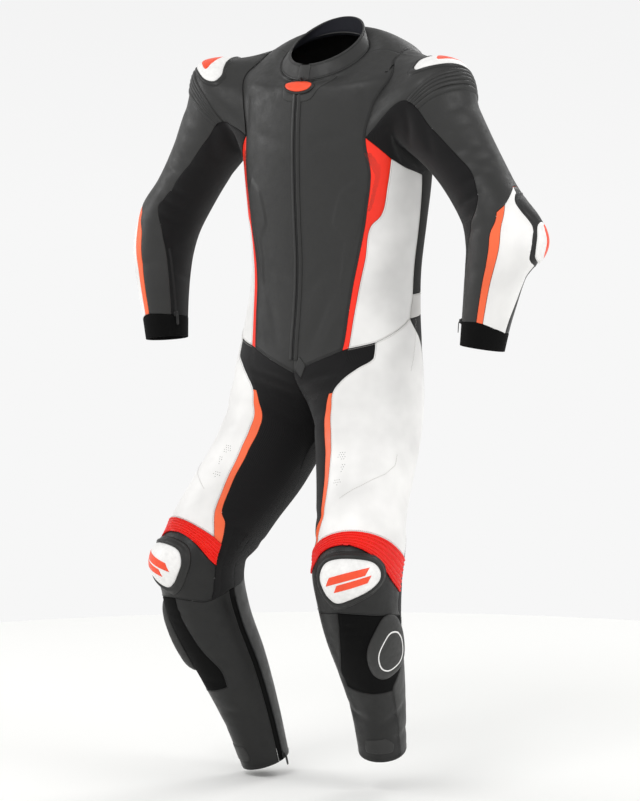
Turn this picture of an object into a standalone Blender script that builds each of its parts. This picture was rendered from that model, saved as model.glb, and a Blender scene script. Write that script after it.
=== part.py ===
"""Motorcycle race suit: the empty one-piece suit in the pose of a wearer.

The body is one surface per half, read at (u, s): u runs round the ring from the centre
front or inseam (0) by the outer side (0.5) to the centre back (1), s runs down from the
neck. The sleeve is read at (phi, w): phi runs round from the top by the front, w runs
down from the armhole. Both are laid out as one net of shared points, and every panel is
the part of the net between its seams, given a wall.
Axes: +Z up, the suit faces -Y, the wearer's left is +X. Lengths in metres.
"""
import math

import bpy
import numpy as np

OBJECT_NAME = "motorcycle_race_suit"

# Driving dimensions
LEATHER_WALL = 0.0016
STRETCH_WALL = 0.0014
CUFF_WALL = 0.0020
COLLAR_WALL = 0.0022
SEAM_GAP = 0.0003
PLATE_LIFT = 0.0004
PLATE_RIM = 0.0030
BADGE_HALF_WIDTHS = (0.015, 0.024, 0.024, 0.016)
KNEE_RIB_HEIGHT = 0.0030
KNEE_RIBS = 7
SHOULDER_RIB_HEIGHT = 0.0025
SHOULDER_RIBS = 5
SHOULDER_LEAN = 0.030
HIP_SWAY = 0.008
SLEEVE_TWIST = 0.045
ANKLE_LEFT_UP = 0.032
ANKLE_RIGHT_DOWN = 0.015
ANKLE_OFFSET_FROM = 1.00
HEM_S = 1.37

# Rings of one half, down from the neck: centre, half width, depth to front and to back,
# swell of the corners, half opening in degrees (90 torso half, 180 closed leg), tilts.
BODY_RINGS = (
    # s     cx     cy      cz      a      bf     bb     q     open pitch roll
    (0.00, 0.000, -0.038, -0.024, 0.086, 0.094, 0.070, 0.00, 90, -34, 0),
    (0.03, 0.000, -0.026, -0.017, 0.114, 0.107, 0.080, 0.02, 90, -36, 0),
    (0.06, 0.000, -0.016, -0.025, 0.147, 0.122, 0.094, 0.03, 90, -29, 0),
    (0.09, 0.000, -0.010, -0.043, 0.176, 0.128, 0.110, 0.04, 90, -21, 0),
    (0.13, 0.000, -0.004, -0.090, 0.187, 0.131, 0.124, 0.05, 90, -7, 0),
    (0.19, 0.000, 0.000, -0.165, 0.186, 0.140, 0.128, 0.05, 90, -2, 0),
    (0.26, 0.000, 0.004, -0.245, 0.180, 0.144, 0.124, 0.05, 90, 0, 0),
    (0.34, 0.000, 0.004, -0.330, 0.171, 0.140, 0.114, 0.05, 90, 0, 0),
    (0.42, 0.000, 0.000, -0.415, 0.164, 0.130, 0.108, 0.05, 90, 0, 0),
    (0.50, 0.000, -0.006, -0.495, 0.170, 0.124, 0.110, 0.05, 90, 0, 0),
    (0.57, 0.000, -0.014, -0.565, 0.182, 0.120, 0.116, 0.04, 92, 0, 0),
    (0.63, 0.058, -0.024, -0.625, 0.130, 0.116, 0.118, 0.02, 116, 4, 0),
    (0.68, 0.090, -0.036, -0.675, 0.104, 0.108, 0.112, 0.00, 150, 8, 0),
    (0.72, 0.102, -0.052, -0.715, 0.096, 0.100, 0.108, 0.00, 180, 12, 4),
    (0.79, 0.118, -0.090, -0.780, 0.090, 0.092, 0.098, 0.00, 180, 22, 8),
    (0.87, 0.141, -0.136, -0.848, 0.084, 0.086, 0.086, 0.00, 180, 26, 10),
    (0.94, 0.161, -0.176, -0.905, 0.080, 0.080, 0.098, 0.00, 180, 18, 8),
    (0.99, 0.170, -0.198, -0.952, 0.077, 0.080, 0.098, 0.00, 180, 0, 2),
    (1.04, 0.172, -0.194, -1.000, 0.073, 0.076, 0.090, 0.00, 180, -16, -4),
    (1.11, 0.166, -0.172, -1.066, 0.069, 0.068, 0.080, 0.00, 180, -22, -8),
    (1.20, 0.153, -0.124, -1.152, 0.061, 0.060, 0.069, 0.00, 180, -24, -10),
    (1.29, 0.141, -0.080, -1.244, 0.050, 0.052, 0.058, 0.00, 180, -20, -10),
    (1.37, 0.131, -0.050, -1.330, 0.043, 0.046, 0.050, 0.00, 180, -16, -8),
)
COLLAR_TOP_RING = (0.0, 0.0, -0.037, -0.002, 0.067, 0.085, 0.086, 0.0, 90, -33, 0)
SLEEVE_START = (0.165, -0.016, -0.10)
SLEEVE_RINGS = (
    # w     cx     cy      cz      a      b
    (0.05, 0.216, -0.030, -0.122, 0.090, 0.082),
    (0.12, 0.250, -0.030, -0.165, 0.072, 0.070),
    (0.20, 0.292, -0.028, -0.222, 0.060, 0.060),
    (0.27, 0.330, -0.030, -0.280, 0.056, 0.058),
    (0.33, 0.360, -0.036, -0.328, 0.059, 0.060),
    (0.39, 0.370, -0.046, -0.385, 0.057, 0.056),
    (0.46, 0.363, -0.056, -0.450, 0.048, 0.050),
    (0.53, 0.354, -0.062, -0.512, 0.041, 0.043),
    (0.58, 0.348, -0.065, -0.558, 0.037, 0.040),
)
ARMHOLE = (
    # phi   u      s
    (0.000, 0.500, 0.058),
    (0.060, 0.420, 0.066),
    (0.120, 0.330, 0.100),
    (0.180, 0.270, 0.135),
    (0.240, 0.245, 0.168),
    (0.310, 0.235, 0.198),
    (0.370, 0.330, 0.232),
    (0.430, 0.380, 0.243),
    (0.500, 0.500, 0.257),
    (0.570, 0.610, 0.245),
    (0.680, 0.710, 0.205),
    (0.750, 0.720, 0.168),
    (0.820, 0.700, 0.135),
    (0.890, 0.650, 0.100),
    (0.950, 0.570, 0.066),
    (1.000, 0.500, 0.058),
)

# Columns of the net: centre front, zip edge, strip's inner and outer seam, tip of the
# crotch stretch (below it the thigh strip's outer seam), slider patch's front seam, side
# seam, back seam, centre back, each with how it is split up to the next one.
COLUMNS = (
    ("CF", (0.0,)),
    ("ZIP", (0.0, 0.16, 0.42, 0.70)),
    ("IN", (0.0,)),
    ("OUT", (0.0,)),
    ("TIP", (0.0,)),
    ("PATCH", (0.0, 0.25, 0.5, 0.75)),
    ("SIDE", (0.0, 0.5)),
    ("BACK", (0.0, 0.25, 0.5, 0.75)),
    ("CB", (0.0,)),
)
# Rows of the net down the body: name, steps to the next row, how far the row rises
# between TIP and SIDE, then (u, s) at each column; CF and CB give s only.
ROWS = (
    # name steps rise  CF     ZIP             IN              OUT             TIP
    #      PATCH           SIDE            BACK            CB
    ("NECK", 2, 0.0, 0.000, (0.028, 0.000), (0.500, 0.000), None, None,
     None, None, (0.500, 0.000), 0.000),
    ("TOP", 1, 0.0, 0.100, (0.014, 0.100), (0.500, 0.058), None, None,
     None, None, (0.500, 0.058), 0.050),
    ("A1", 1, 0.0, 0.125, (0.014, 0.125), (0.420, 0.066), None, None,
     None, None, (0.570, 0.066), 0.080),
    ("A2", 1, 0.0, 0.145, (0.014, 0.145), (0.330, 0.100), None, None,
     None, None, (0.650, 0.100), 0.110),
    ("A3", 1, 0.0, 0.165, (0.014, 0.165), (0.270, 0.135), None, None,
     None, None, (0.700, 0.135), 0.140),
    ("A4", 1, 0.0, 0.182, (0.014, 0.182), (0.245, 0.168), None, None,
     None, None, (0.720, 0.168), 0.170),
    ("ARM", 2, 0.0, 0.200, (0.014, 0.200), (0.235, 0.198), (0.330, 0.232), (0.380, 0.243),
     (0.405, 0.247), (0.500, 0.257), (0.710, 0.205), 0.205),
    ("CHEST", 2, 0.0, 0.262, (0.014, 0.262), (0.258, 0.265), (0.322, 0.275), (0.380, 0.278),
     (0.406, 0.280), (0.510, 0.285), (0.680, 0.270), 0.265),
    ("NOTCH_A", 1, 0.0, 0.325, (0.014, 0.325), (0.250, 0.328), (0.303, 0.330), (0.380, 0.333),
     (0.408, 0.334), (0.518, 0.340), (0.670, 0.330), 0.325),
    ("NOTCH_B", 2, 0.0, 0.345, (0.014, 0.345), (0.247, 0.345), (0.268, 0.348), (0.370, 0.350),
     (0.400, 0.352), (0.518, 0.360), (0.670, 0.355), 0.350),
    ("WAIST", 2, 0.0, 0.405, (0.014, 0.405), (0.228, 0.403), (0.252, 0.405), (0.350, 0.410),
     (0.383, 0.411), (0.515, 0.415), (0.670, 0.410), 0.405),
    ("MESH", 3, 0.0, 0.475, (0.014, 0.475), (0.205, 0.463), (0.228, 0.463), (0.340, 0.465),
     (0.374, 0.466), (0.510, 0.468), (0.680, 0.465), 0.455),
    ("GROIN", 1, 0.0, 0.618, (0.020, 0.612), (0.178, 0.568), (0.198, 0.564), (0.290, 0.553),
     (0.330, 0.545), (0.490, 0.512), (0.680, 0.505), 0.505),
    ("T_A", 1, 0.0, 0.635, (0.020, 0.632), (0.170, 0.595), (0.195, 0.592), (0.290, 0.580),
     (0.331, 0.573), (0.575, 0.550), (0.690, 0.550), 0.560),
    ("T_B", 1, 0.0, 0.652, (0.020, 0.650), (0.150, 0.618), (0.185, 0.610), (0.240, 0.603),
     (0.300, 0.598), (0.625, 0.584), (0.700, 0.595), 0.610),
    ("T_C", 1, 0.0, 0.670, (0.020, 0.668), (0.135, 0.638), (0.176, 0.632), (0.200, 0.627),
     (0.285, 0.624), (0.640, 0.616), (0.710, 0.632), 0.650),
    ("STRIP", 1, 0.0, 0.695, (0.020, 0.693), (0.120, 0.668), (0.167, 0.657), (0.180, 0.655),
     (0.280, 0.653), (0.645, 0.652), (0.720, 0.668), 0.690),
    ("CROTCH", 1, 0.0, 0.720, (0.020, 0.720), (0.120, 0.708), (0.176, 0.693), (0.200, 0.692),
     (0.290, 0.691), (0.650, 0.692), (0.730, 0.705), 0.720),
    ("LEG_A", 1, 0.0, 0.760, (0.020, 0.760), (0.120, 0.748), (0.200, 0.737), (0.228, 0.737),
     (0.312, 0.737), (0.650, 0.741), (0.740, 0.748), 0.760),
    ("LEG_B", 2, 0.0, 0.808, (0.020, 0.808), (0.115, 0.800), (0.190, 0.795), (0.214, 0.797),
     (0.300, 0.798), (0.645, 0.801), (0.750, 0.800), 0.808),
    ("LEG_C", 1, 0.0, 0.865, (0.020, 0.865), (0.110, 0.860), (0.178, 0.857), (0.199, 0.858),
     (0.285, 0.859), (0.635, 0.861), (0.750, 0.860), 0.865),
    ("LEG_D", 1, 0.0, 0.910, (0.020, 0.910), (0.100, 0.907), (0.158, 0.904), (0.182, 0.902),
     (0.265, 0.902), (0.618, 0.906), (0.750, 0.905), 0.910),
    ("LEG_E", 1, -0.006, 0.932, (0.020, 0.932), (0.082, 0.930), (0.122, 0.924), (0.168, 0.920),
     (0.248, 0.918), (0.600, 0.930), (0.752, 0.925), 0.932),
    ("RIB_TOP", 1, -0.020, 0.964, (0.022, 0.964), (0.070, 0.961), (0.102, 0.955), (0.138, 0.948),
     (0.210, 0.951), (0.580, 0.962), (0.756, 0.955), 0.960),
    ("RIB_END", 1, -0.048, 0.994, (0.025, 0.994), (0.064, 0.993), (0.092, 0.989), (0.126, 0.979),
     (0.203, 0.988), (0.550, 1.026), (0.760, 0.988), 0.984),
    ("CUP_A", 1, -0.046, 1.003, (0.026, 1.003), (0.064, 1.002), (0.090, 1.000), (0.121, 0.992),
     (0.198, 1.000), (0.545, 1.036), (0.762, 1.000), 0.996),
    ("CUP_B", 1, -0.040, 1.012, (0.027, 1.012), (0.065, 1.012), (0.091, 1.010), (0.121, 1.005),
     (0.195, 1.012), (0.542, 1.044), (0.764, 1.012), 1.008),
    ("CUP_C", 1, -0.035, 1.021, (0.028, 1.021), (0.066, 1.022), (0.095, 1.021), (0.126, 1.018),
     (0.198, 1.024), (0.542, 1.052), (0.766, 1.024), 1.020),
    ("CUP_D", 1, -0.031, 1.031, (0.029, 1.031), (0.069, 1.033), (0.100, 1.034), (0.134, 1.032),
     (0.210, 1.037), (0.545, 1.062), (0.768, 1.036), 1.032),
    ("KNEE_END", 1, -0.022, 1.043, (0.030, 1.043), (0.076, 1.046), (0.112, 1.048), (0.148, 1.047),
     (0.262, 1.053), (0.562, 1.076), (0.770, 1.050), 1.044),
    ("PATCH_A", 1, -0.008, 1.084, (0.030, 1.084), (0.078, 1.086), (0.114, 1.088), (0.150, 1.090),
     (0.250, 1.092), (0.590, 1.106), (0.775, 1.088), 1.084),
    ("PATCH_B", 1, 0.0, 1.128, (0.030, 1.128), (0.076, 1.130), (0.108, 1.132), (0.140, 1.134),
     (0.225, 1.136), (0.580, 1.146), (0.775, 1.130), 1.128),
    ("PATCH_C", 1, 0.0, 1.172, (0.032, 1.172), (0.072, 1.174), (0.100, 1.176), (0.128, 1.178),
     (0.190, 1.182), (0.520, 1.184), (0.770, 1.174), 1.172),
    ("PATCH_D", 3, 0.0, 1.205, (0.034, 1.205), (0.072, 1.207), (0.100, 1.208), (0.130, 1.209),
     (0.200, 1.210), (0.450, 1.218), (0.765, 1.208), 1.205),
    ("ANKLE", 2, 0.0, 1.310, (0.040, 1.310), (0.080, 1.310), (0.110, 1.310), (0.145, 1.310),
     (0.235, 1.310), (0.470, 1.312), (0.760, 1.310), 1.310),
    ("HEM", 0, 0.0, HEM_S, (0.044, HEM_S), (0.085, HEM_S), (0.115, HEM_S), (0.150, HEM_S),
     (0.235, HEM_S), (0.480, HEM_S), (0.760, HEM_S), HEM_S),
)
# Rows of the sleeve net: name, steps to the next row, then (phi, w) at the outer line,
# the forearm strip's two seams, the front seam and the back seam.
SLEEVE_ROWS = (
    # name        steps OUTER            STRIP_OUT       STRIP_IN        FRONT           BACK
    ("CAP_TOP", 1, (0.000, 0.012), (0.120, 0.012), (0.180, 0.012), (0.305, 0.012), (0.690, 0.012)),
    ("CAP_MID", 1, (0.000, 0.037), (0.115, 0.037), (0.175, 0.037), (0.295, 0.037), (0.690, 0.037)),
    ("RIB_TOP", 1, (0.000, 0.064), (0.110, 0.063), (0.165, 0.062), (0.285, 0.062), (0.690, 0.064)),
    ("RIB_END", 1, (0.000, 0.094), (0.106, 0.092), (0.160, 0.090), (0.275, 0.086), (0.690, 0.094)),
    ("UPPER_A", 1, (0.000, 0.145), (0.104, 0.145), (0.156, 0.145), (0.262, 0.145), (0.690, 0.145)),
    ("UPPER_B", 1, (0.000, 0.195), (0.096, 0.195), (0.146, 0.195), (0.248, 0.195), (0.690, 0.195)),
    ("UPPER_C", 1, (0.010, 0.243), (0.080, 0.248), (0.130, 0.250), (0.225, 0.246), (0.690, 0.240)),
    ("ELBOW", 1, (0.030, 0.292), (0.115, 0.325), (0.160, 0.335), (0.235, 0.300), (0.690, 0.285)),
    ("ELBOW_A", 1, (0.015, 0.332), (0.152, 0.360), (0.205, 0.366), (0.305, 0.340), (0.690, 0.322)),
    ("ELBOW_B", 1, (-0.060, 0.366), (0.165, 0.388), (0.217, 0.392), (0.345, 0.375), (0.690, 0.356)),
    ("ELBOW_C", 1, (-0.070, 0.398), (0.175, 0.415), (0.223, 0.418), (0.372, 0.408), (0.690, 0.390)),
    ("FORE_A", 3, (-0.060, 0.430), (0.181, 0.445), (0.226, 0.447), (0.386, 0.440), (0.690, 0.425)),
    ("CUFF", 1, (0.000, 0.540), (0.185, 0.528), (0.230, 0.527), (0.400, 0.532), (0.700, 0.537)),
    ("END", 0, (0.000, 0.576), (0.185, 0.576), (0.230, 0.576), (0.400, 0.576), (0.700, 0.576)),
)
SLEEVE_COLUMNS = (0, 2, 3, 5, 14, 19)

# Padding under the cloth: surface, centre, half spans and height of the bulge.
PADDING = (
    ("body", 0.315, 0.990, 0.190, 0.048, 0.012),
    ("sleeve", -0.090, 0.372, 0.150, 0.062, 0.024),
    ("sleeve", 0.040, 0.055, 0.160, 0.045, 0.006),
)


def hermite(knots, values, at):
    """Smooth curve through values[knot, point], read at one position per point."""
    knots = np.asarray(knots, float)
    step = np.diff(knots)
    slope = np.diff(values, axis=0) / step[:, None, None]
    tangent = np.empty_like(values)
    before = step[:-1, None, None]
    after = step[1:, None, None]
    tangent[1:-1] = (slope[:-1] * after + slope[1:] * before) / (before + after)
    tangent[0] = slope[0]
    tangent[-1] = slope[-1]
    k = np.clip(np.searchsorted(knots, at, side="right") - 1, 0, len(knots) - 2)
    h = step[k][:, None]
    t = (at - knots[k])[:, None] / h
    i = np.arange(len(at))
    return (
        (2 * t**3 - 3 * t**2 + 1) * values[k, i]
        + (t**3 - 2 * t**2 + t) * h * tangent[k, i]
        + (3 * t**2 - 2 * t**3) * values[k + 1, i]
        + (t**3 - t**2) * h * tangent[k + 1, i]
    )


def ring_points(ring, u):
    """Points of one body ring at u."""
    _, cx, cy, cz, a, bf, bb, q, opening, pitch, roll = ring
    angle = math.radians(opening) * (1 - 2 * u)
    swell = 1 + q * np.sin(2 * angle) ** 2
    x = a * swell * np.cos(angle)
    y = -np.where(angle > 0, bf, bb) * swell * np.sin(angle)
    pitch = math.radians(pitch)
    roll = math.radians(roll)
    return np.stack(
        [
            cx + x * math.cos(roll),
            cy + y * math.cos(pitch),
            cz - y * math.sin(pitch) + x * math.sin(roll),
        ],
        axis=-1,
    )


def body_points(u, s):
    u = np.asarray(u, float)
    rings = np.stack([ring_points(ring, u) for ring in BODY_RINGS])
    return hermite([ring[0] for ring in BODY_RINGS], rings, np.asarray(s, float))


def sleeve_points(phi, w):
    """Sleeve surface: the armhole, then circles square to the arm's line."""
    phi = np.asarray(phi, float)
    rows = np.array(SLEEVE_RINGS)
    centres = np.vstack([[SLEEVE_START], rows[:, 1:4]])
    knots = np.concatenate([[0.0], rows[:, 0]])
    ahead = np.gradient(centres, knots, axis=0)[1:]
    ahead /= np.linalg.norm(ahead, axis=1, keepdims=True)
    front = np.array([0.0, -1.0, 0.0]) + ahead * ahead[:, 1:2]
    front /= np.linalg.norm(front, axis=1, keepdims=True)
    outer = np.cross(front, ahead)
    hole = np.array(ARMHOLE)
    turn = phi % 1.0
    around = np.interp(turn, hole[:, 0], hole[:, 1])
    down = np.interp(turn, hole[:, 0], hole[:, 2])
    rings = [body_points(around, down)]
    angle = 2 * math.pi * phi[:, None]
    for row, centre, f, o in zip(rows, centres[1:], front, outer):
        rings.append(centre + row[4] * np.cos(angle) * o + row[5] * np.sin(angle) * f)
    return hermite(knots, np.stack(rings), np.asarray(w, float))


def eased(x):
    x = np.clip(x, 0.0, 1.0)
    return x * x * (3 - 2 * x)


def worn(points, side, s, fade_from, fade_over):
    """Mirror a half, lean the shoulder line and set one ankle below the other."""
    points = points * np.array([side, 1.0, 1.0])
    points[:, 2] -= SHOULDER_LEAN * points[:, 0] * (1 - eased((s - fade_from) / fade_over))
    return points


def bulge(kind, u, s):
    total = np.zeros(len(u))
    for name, u0, s0, du, ds, height in PADDING:
        if name == kind:
            away = ((u - u0) / du) ** 2 + ((s - s0) / ds) ** 2
            total += height * eased(1 - np.sqrt(away))
    return total


class Net:
    """Shared points of the whole suit, with the cells between them."""

    def __init__(self):
        self.index = {}
        self.points = []
        self.pads = []
        self.cells = {}

    def add(self, key, point, pad=0.0):
        self.index[key] = len(self.points)
        self.points.append(point)
        self.pads.append(pad)


COLUMN_AT = {}
count = 0
for column_name, splits in COLUMNS:
    COLUMN_AT[column_name] = count
    count += len(splits)
ROW_AT = {"COLLAR_TOP": 0, "COLLAR_MID": 1}
count = 2
for row in ROWS:
    ROW_AT[row[0]] = count
    count += row[1]
SLEEVE_ROW_AT = {"ARMHOLE": 0}
count = 1
for row in SLEEVE_ROWS:
    SLEEVE_ROW_AT[row[0]] = count
    count += row[1]
LAST_COLUMN = COLUMN_AT["CB"]
IN = COLUMN_AT["IN"]
BACK = COLUMN_AT["BACK"]
SLEEVE_TURN = SLEEVE_COLUMNS[-1]


def row_line(row):
    """(u, s) of one named row at every column of the net."""
    rise = row[2]
    keys = [(0.0, row[3])] + list(row[4:11]) + [(1.0, row[11])]
    tip = COLUMN_AT["TIP"]
    side = COLUMN_AT["SIDE"]
    line = [None] * (LAST_COLUMN + 1)
    for n, (name, splits) in enumerate(COLUMNS):
        if keys[n] is None:
            continue
        after = keys[n + 1] if n + 1 < len(keys) else None
        for m, part in enumerate(splits):
            if part and after is None:
                continue
            u, s = keys[n] if not part else (
                keys[n][0] + (after[0] - keys[n][0]) * part,
                keys[n][1] + (after[1] - keys[n][1]) * part,
            )
            line[COLUMN_AT[name] + m] = (u, s)
    for i in range(tip + 1, side):
        if line[i] is not None:
            t = (line[i][0] - line[tip][0]) / (line[side][0] - line[tip][0])
            line[i] = (line[i][0], line[i][1] + rise * 4 * t * (1 - t))
    return line


def body_grid():
    """(u, s) for every row and column, with the rows between the named ones filled in."""
    lines = []
    for n, row in enumerate(ROWS):
        here = row_line(row)
        lines.append(here)
        if n + 1 == len(ROWS):
            break
        after = row_line(ROWS[n + 1])
        for m in range(1, row[1]):
            t = m / row[1]
            lines.append([
                None if a is None or b is None else (a[0] + (b[0] - a[0]) * t, a[1] + (b[1] - a[1]) * t)
                for a, b in zip(here, after)
            ])
    return lines


def sleeve_grid():
    keys = np.array([[cell for cell in row[2:]] for row in SLEEVE_ROWS])
    last = keys[:, :1] + np.array([1.0, 0.0])
    keys = np.concatenate([keys, last], axis=1)
    lines = []
    for n, row in enumerate(SLEEVE_ROWS):
        for m in range(max(row[1], 1)):
            t = m / max(row[1], 1)
            here = keys[n] if t == 0 else keys[n] + (keys[n + 1] - keys[n]) * t
            at = np.arange(SLEEVE_TURN)
            phi = np.interp(at, SLEEVE_COLUMNS, here[:, 0])
            w = np.interp(at, SLEEVE_COLUMNS, here[:, 1])
            lines.append((phi, w))
    return lines


def build_net():
    net = Net()
    grid = body_grid()
    crotch = ROW_AT["CROTCH"]
    armhole = ROW_AT["ARM"]
    top = ROW_AT["TOP"]
    for side in (1, -1):
        for j in range(2 + len(grid)):
            line = grid[max(j - 2, 0)]
            for i, place in enumerate(line):
                key = (side, i, j)
                if place is None:
                    continue
                if i == BACK and j <= top:
                    net.index[key] = net.index[(side, IN, j)]
                    continue
                if i == LAST_COLUMN and j >= crotch:
                    net.index[key] = net.index[(side, 0, j)]
                    continue
                middle = i in (0, LAST_COLUMN) and j <= crotch
                if middle and side == -1:
                    net.index[key] = net.index[(1, i, j)]
                    continue
                u = np.array([place[0]])
                s = np.array([place[1]])
                if j < 2:
                    base = ring_points(BODY_RINGS[0], u)
                    rim = ring_points(COLLAR_TOP_RING, u)
                    point = rim + (base - rim) * j / 2
                    pad = 0.0
                else:
                    point = body_points(u, s)
                    pad = bulge("body", u, s)[0]
                point = worn(point, side, s, 0.2, 0.22)[0]
                lift = ANKLE_LEFT_UP if side == 1 else -ANKLE_RIGHT_DOWN
                point[2] += lift * eased((s[0] - ANKLE_OFFSET_FROM) / (HEM_S - ANKLE_OFFSET_FROM))
                if middle:
                    point[0] = 0.0
                point[0] -= HIP_SWAY * eased(1 - abs(s[0] - 0.60) / 0.22)
                net.add(key, point, pad)
        for i in range(LAST_COLUMN):
            for j in range(1 + len(grid)):
                if j < armhole and IN <= i < BACK:
                    continue
                corners = [(side, i, j), (side, i, j + 1), (side, i + 1, j + 1), (side, i + 1, j)]
                corners = [net.index[corner] for corner in corners]
                net.cells[(side, "body", i, j)] = corners[::side]
        for k in range(SLEEVE_TURN):
            if k <= 5:
                spot = (IN, top + k)
            elif k <= 14:
                spot = (k, armhole)
            else:
                spot = (BACK, armhole - (k - 14))
            net.index[(side, "arm", k, 0)] = net.index[(side, spot[0], spot[1])]
        for r, (phi, w) in enumerate(sleeve_grid(), start=1):
            phi = phi - side * SLEEVE_TWIST * eased(w / 0.06) * (1 - eased((w - 0.24) / 0.10))
            points = worn(sleeve_points(phi, w), side, w, 0.0, 0.33)
            turned = np.where(phi > 0.5, phi - 1.0, phi)
            pads = bulge("sleeve", turned, w)
            for k in range(SLEEVE_TURN):
                net.add((side, "arm", k, r), points[k], pads[k])
        for r in range(len(sleeve_grid())):
            for k in range(SLEEVE_TURN):
                ahead = (k + 1) % SLEEVE_TURN
                corners = ((k, r), (ahead, r), (ahead, r + 1), (k, r + 1))
                corners = [net.index[(side, "arm", *corner)] for corner in corners]
                net.cells[(side, "sleeve", k, r)] = corners[::side]
    net.points = np.array(net.points)
    net.normals = net_normals(net)
    net.points = net.points + net.normals * np.array(net.pads)[:, None]
    net.normals = net_normals(net)
    return net


def net_normals(net):
    normals = np.zeros_like(net.points)
    for corners in net.cells.values():
        a, b, c, d = (net.points[n] for n in corners)
        across = np.cross(c - a, d - b)
        for n in corners:
            normals[n] += across
    return normals / np.linalg.norm(normals, axis=1, keepdims=True)


def unit(vector):
    return vector / max(np.linalg.norm(vector), 1e-12)


def inset(points, normals, faces, distance):
    """Move the points on a patch's edge inwards along the patch, mitred at its corners."""
    edges = {}
    for face in faces:
        for a, b in zip(face, face[1:] + face[:1]):
            edges[(a, b)] = True
    ways = {}
    for a, b in edges:
        if (b, a) in edges:
            continue
        along = points[b] - points[a]
        for n in (a, b):
            ways.setdefault(n, []).append(unit(np.cross(normals[n], along)))
    moved = points.copy()
    for n, inward in ways.items():
        if len(inward) != 2:
            raise ValueError(f"a patch touches itself at one point: {len(inward)} edge ends")
        middle = unit(inward[0] + inward[1])
        reach = distance / max(float(middle @ inward[0]), 0.5)
        moved[n] += middle * reach
    border = [edge for edge in edges if (edge[1], edge[0]) not in edges]
    return moved, border


def add_mesh(name, points, faces, material):
    mesh = bpy.data.meshes.new(name)
    mesh.from_pydata([tuple(p) for p in points], [], faces)
    mesh.update()
    thing = bpy.data.objects.new(name, mesh)
    mesh.materials.append(material)
    COLLECTION.objects.link(thing)
    return thing


def walled(name, points, normals, faces, wall, material, raised=None, under=0.0):
    """One closed body: the faces, moved out by raised, over an inner face one wall below."""
    moved, border = inset(points, normals, faces, SEAM_GAP / 2)
    high = np.zeros(len(points)) if raised is None else raised
    outer = moved + normals * (high + under)[:, None]
    inner = moved + normals * (under - wall)
    count = len(points)
    solid = []
    for face in faces:
        solid.append(face)
        solid.append([n + count for n in reversed(face)])
    for a, b in border:
        solid.append([b, a, a + count])
        solid.append([b, a + count, b + count])
    return add_mesh(name, np.vstack([outer, inner]), solid, material)


def split(corners, other):
    """A cell's two triangles, on the same diagonal wherever the cell is used."""
    a, b, c, d = corners
    if other:
        return [[a, b, d], [b, c, d]]
    return [[a, b, c], [a, c, d]]


def patch_of(net, cells, other_way=(), dropped=()):
    """Points, normals and triangles of the cells; dropped leaves out one corner triangle."""
    used = {}
    faces = []
    for cell in cells:
        corners = net.cells[cell]
        halves = split(corners, cell in other_way)
        for m, half in enumerate(halves):
            if (cell, m) in dropped:
                continue
            faces.append([used.setdefault(n, len(used)) for n in half])
    order = list(used)
    return net.points[order], net.normals[order], faces, order


def block(side, kind, first, last, top, end):
    """Cells between two columns and two rows; a sleeve's columns may pass the turn."""
    cells = []
    for i in range(first, last):
        for j in range(top, end):
            cells.append((side, kind, i % SLEEVE_TURN if kind == "sleeve" else i, j))
    return cells


def ribbed(net, name, cells, ribs, height, wall, material):
    """A row of cells split across into ribs: raised outside, plain inside."""
    steps = ribs * 2
    used = {}
    points = []
    normals = []
    raised = []
    faces = []

    def place(a, b, m):
        key = (a, b, m) if 0 < m < steps else ((a if m == 0 else b),)
        if key not in used:
            t = m / steps
            used[key] = len(points)
            points.append(net.points[a] + (net.points[b] - net.points[a]) * t)
            normals.append(unit(net.normals[a] + (net.normals[b] - net.normals[a]) * t))
            raised.append(height if m % 2 else 0.0)
        return used[key]

    for side, kind, i, j in cells:
        corners = net.cells[(side, kind, i, j)][::side]
        if kind == "body":
            a, a_down, b_down, b = corners
        else:
            a, b, b_down, a_down = corners
        for m in range(steps):
            ends = ((a, a_down, m), (a, a_down, m + 1), (b, b_down, m + 1), (b, b_down, m))
            quad = [place(*end) for end in ends]
            if kind != "body":
                quad = quad[::-1]
            quad = quad[::side]
            faces.extend(split(quad, False))
    points = np.array(points)
    normals = np.array(normals)
    raised = np.array(raised)
    _, border = inset(points, normals, faces, 0.0)
    for a, b in border:
        raised[a] = 0.0
        raised[b] = 0.0
    return walled(name, points, normals, faces, wall, material, raised=raised)


def plate(net, name, cells, thickness, material, cut=()):
    """A moulded plate on the cloth: the cloth's own points moved out, domed to the middle."""
    dropped = [(cell, half) for cell, _, half in cut]
    other = OTHER_WAY
    points, normals, faces, _ = patch_of(net, cells, other, dropped)
    moved, border = inset(points, normals, faces, SEAM_GAP)
    rim = {n for edge in border for n in edge}
    thick = np.array([PLATE_RIM if n in rim else thickness for n in range(len(points))])
    outer = moved + normals * (PLATE_LIFT + thick)[:, None]
    inner = moved + normals * PLATE_LIFT
    count = len(points)
    solid = []
    for face in faces:
        solid.append(face)
        solid.append([n + count for n in reversed(face)])
    for a, b in border:
        solid.append([b, a, a + count])
        solid.append([b, a + count, b + count])
    return add_mesh(name, np.vstack([outer, inner]), solid, material)


def corners_cut(side, kind, first, last, top, end):
    """The four corner cells of a block, split so that the outermost triangle can go."""
    turn = SLEEVE_TURN if kind == "sleeve" else 10**6
    found = []
    for i, j in ((first, top), (last - 1, top), (first, end - 1), (last - 1, end - 1)):
        left = i == first
        high = j == top
        found.append(((side, kind, i % turn, j), left, high))
    return found


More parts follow.
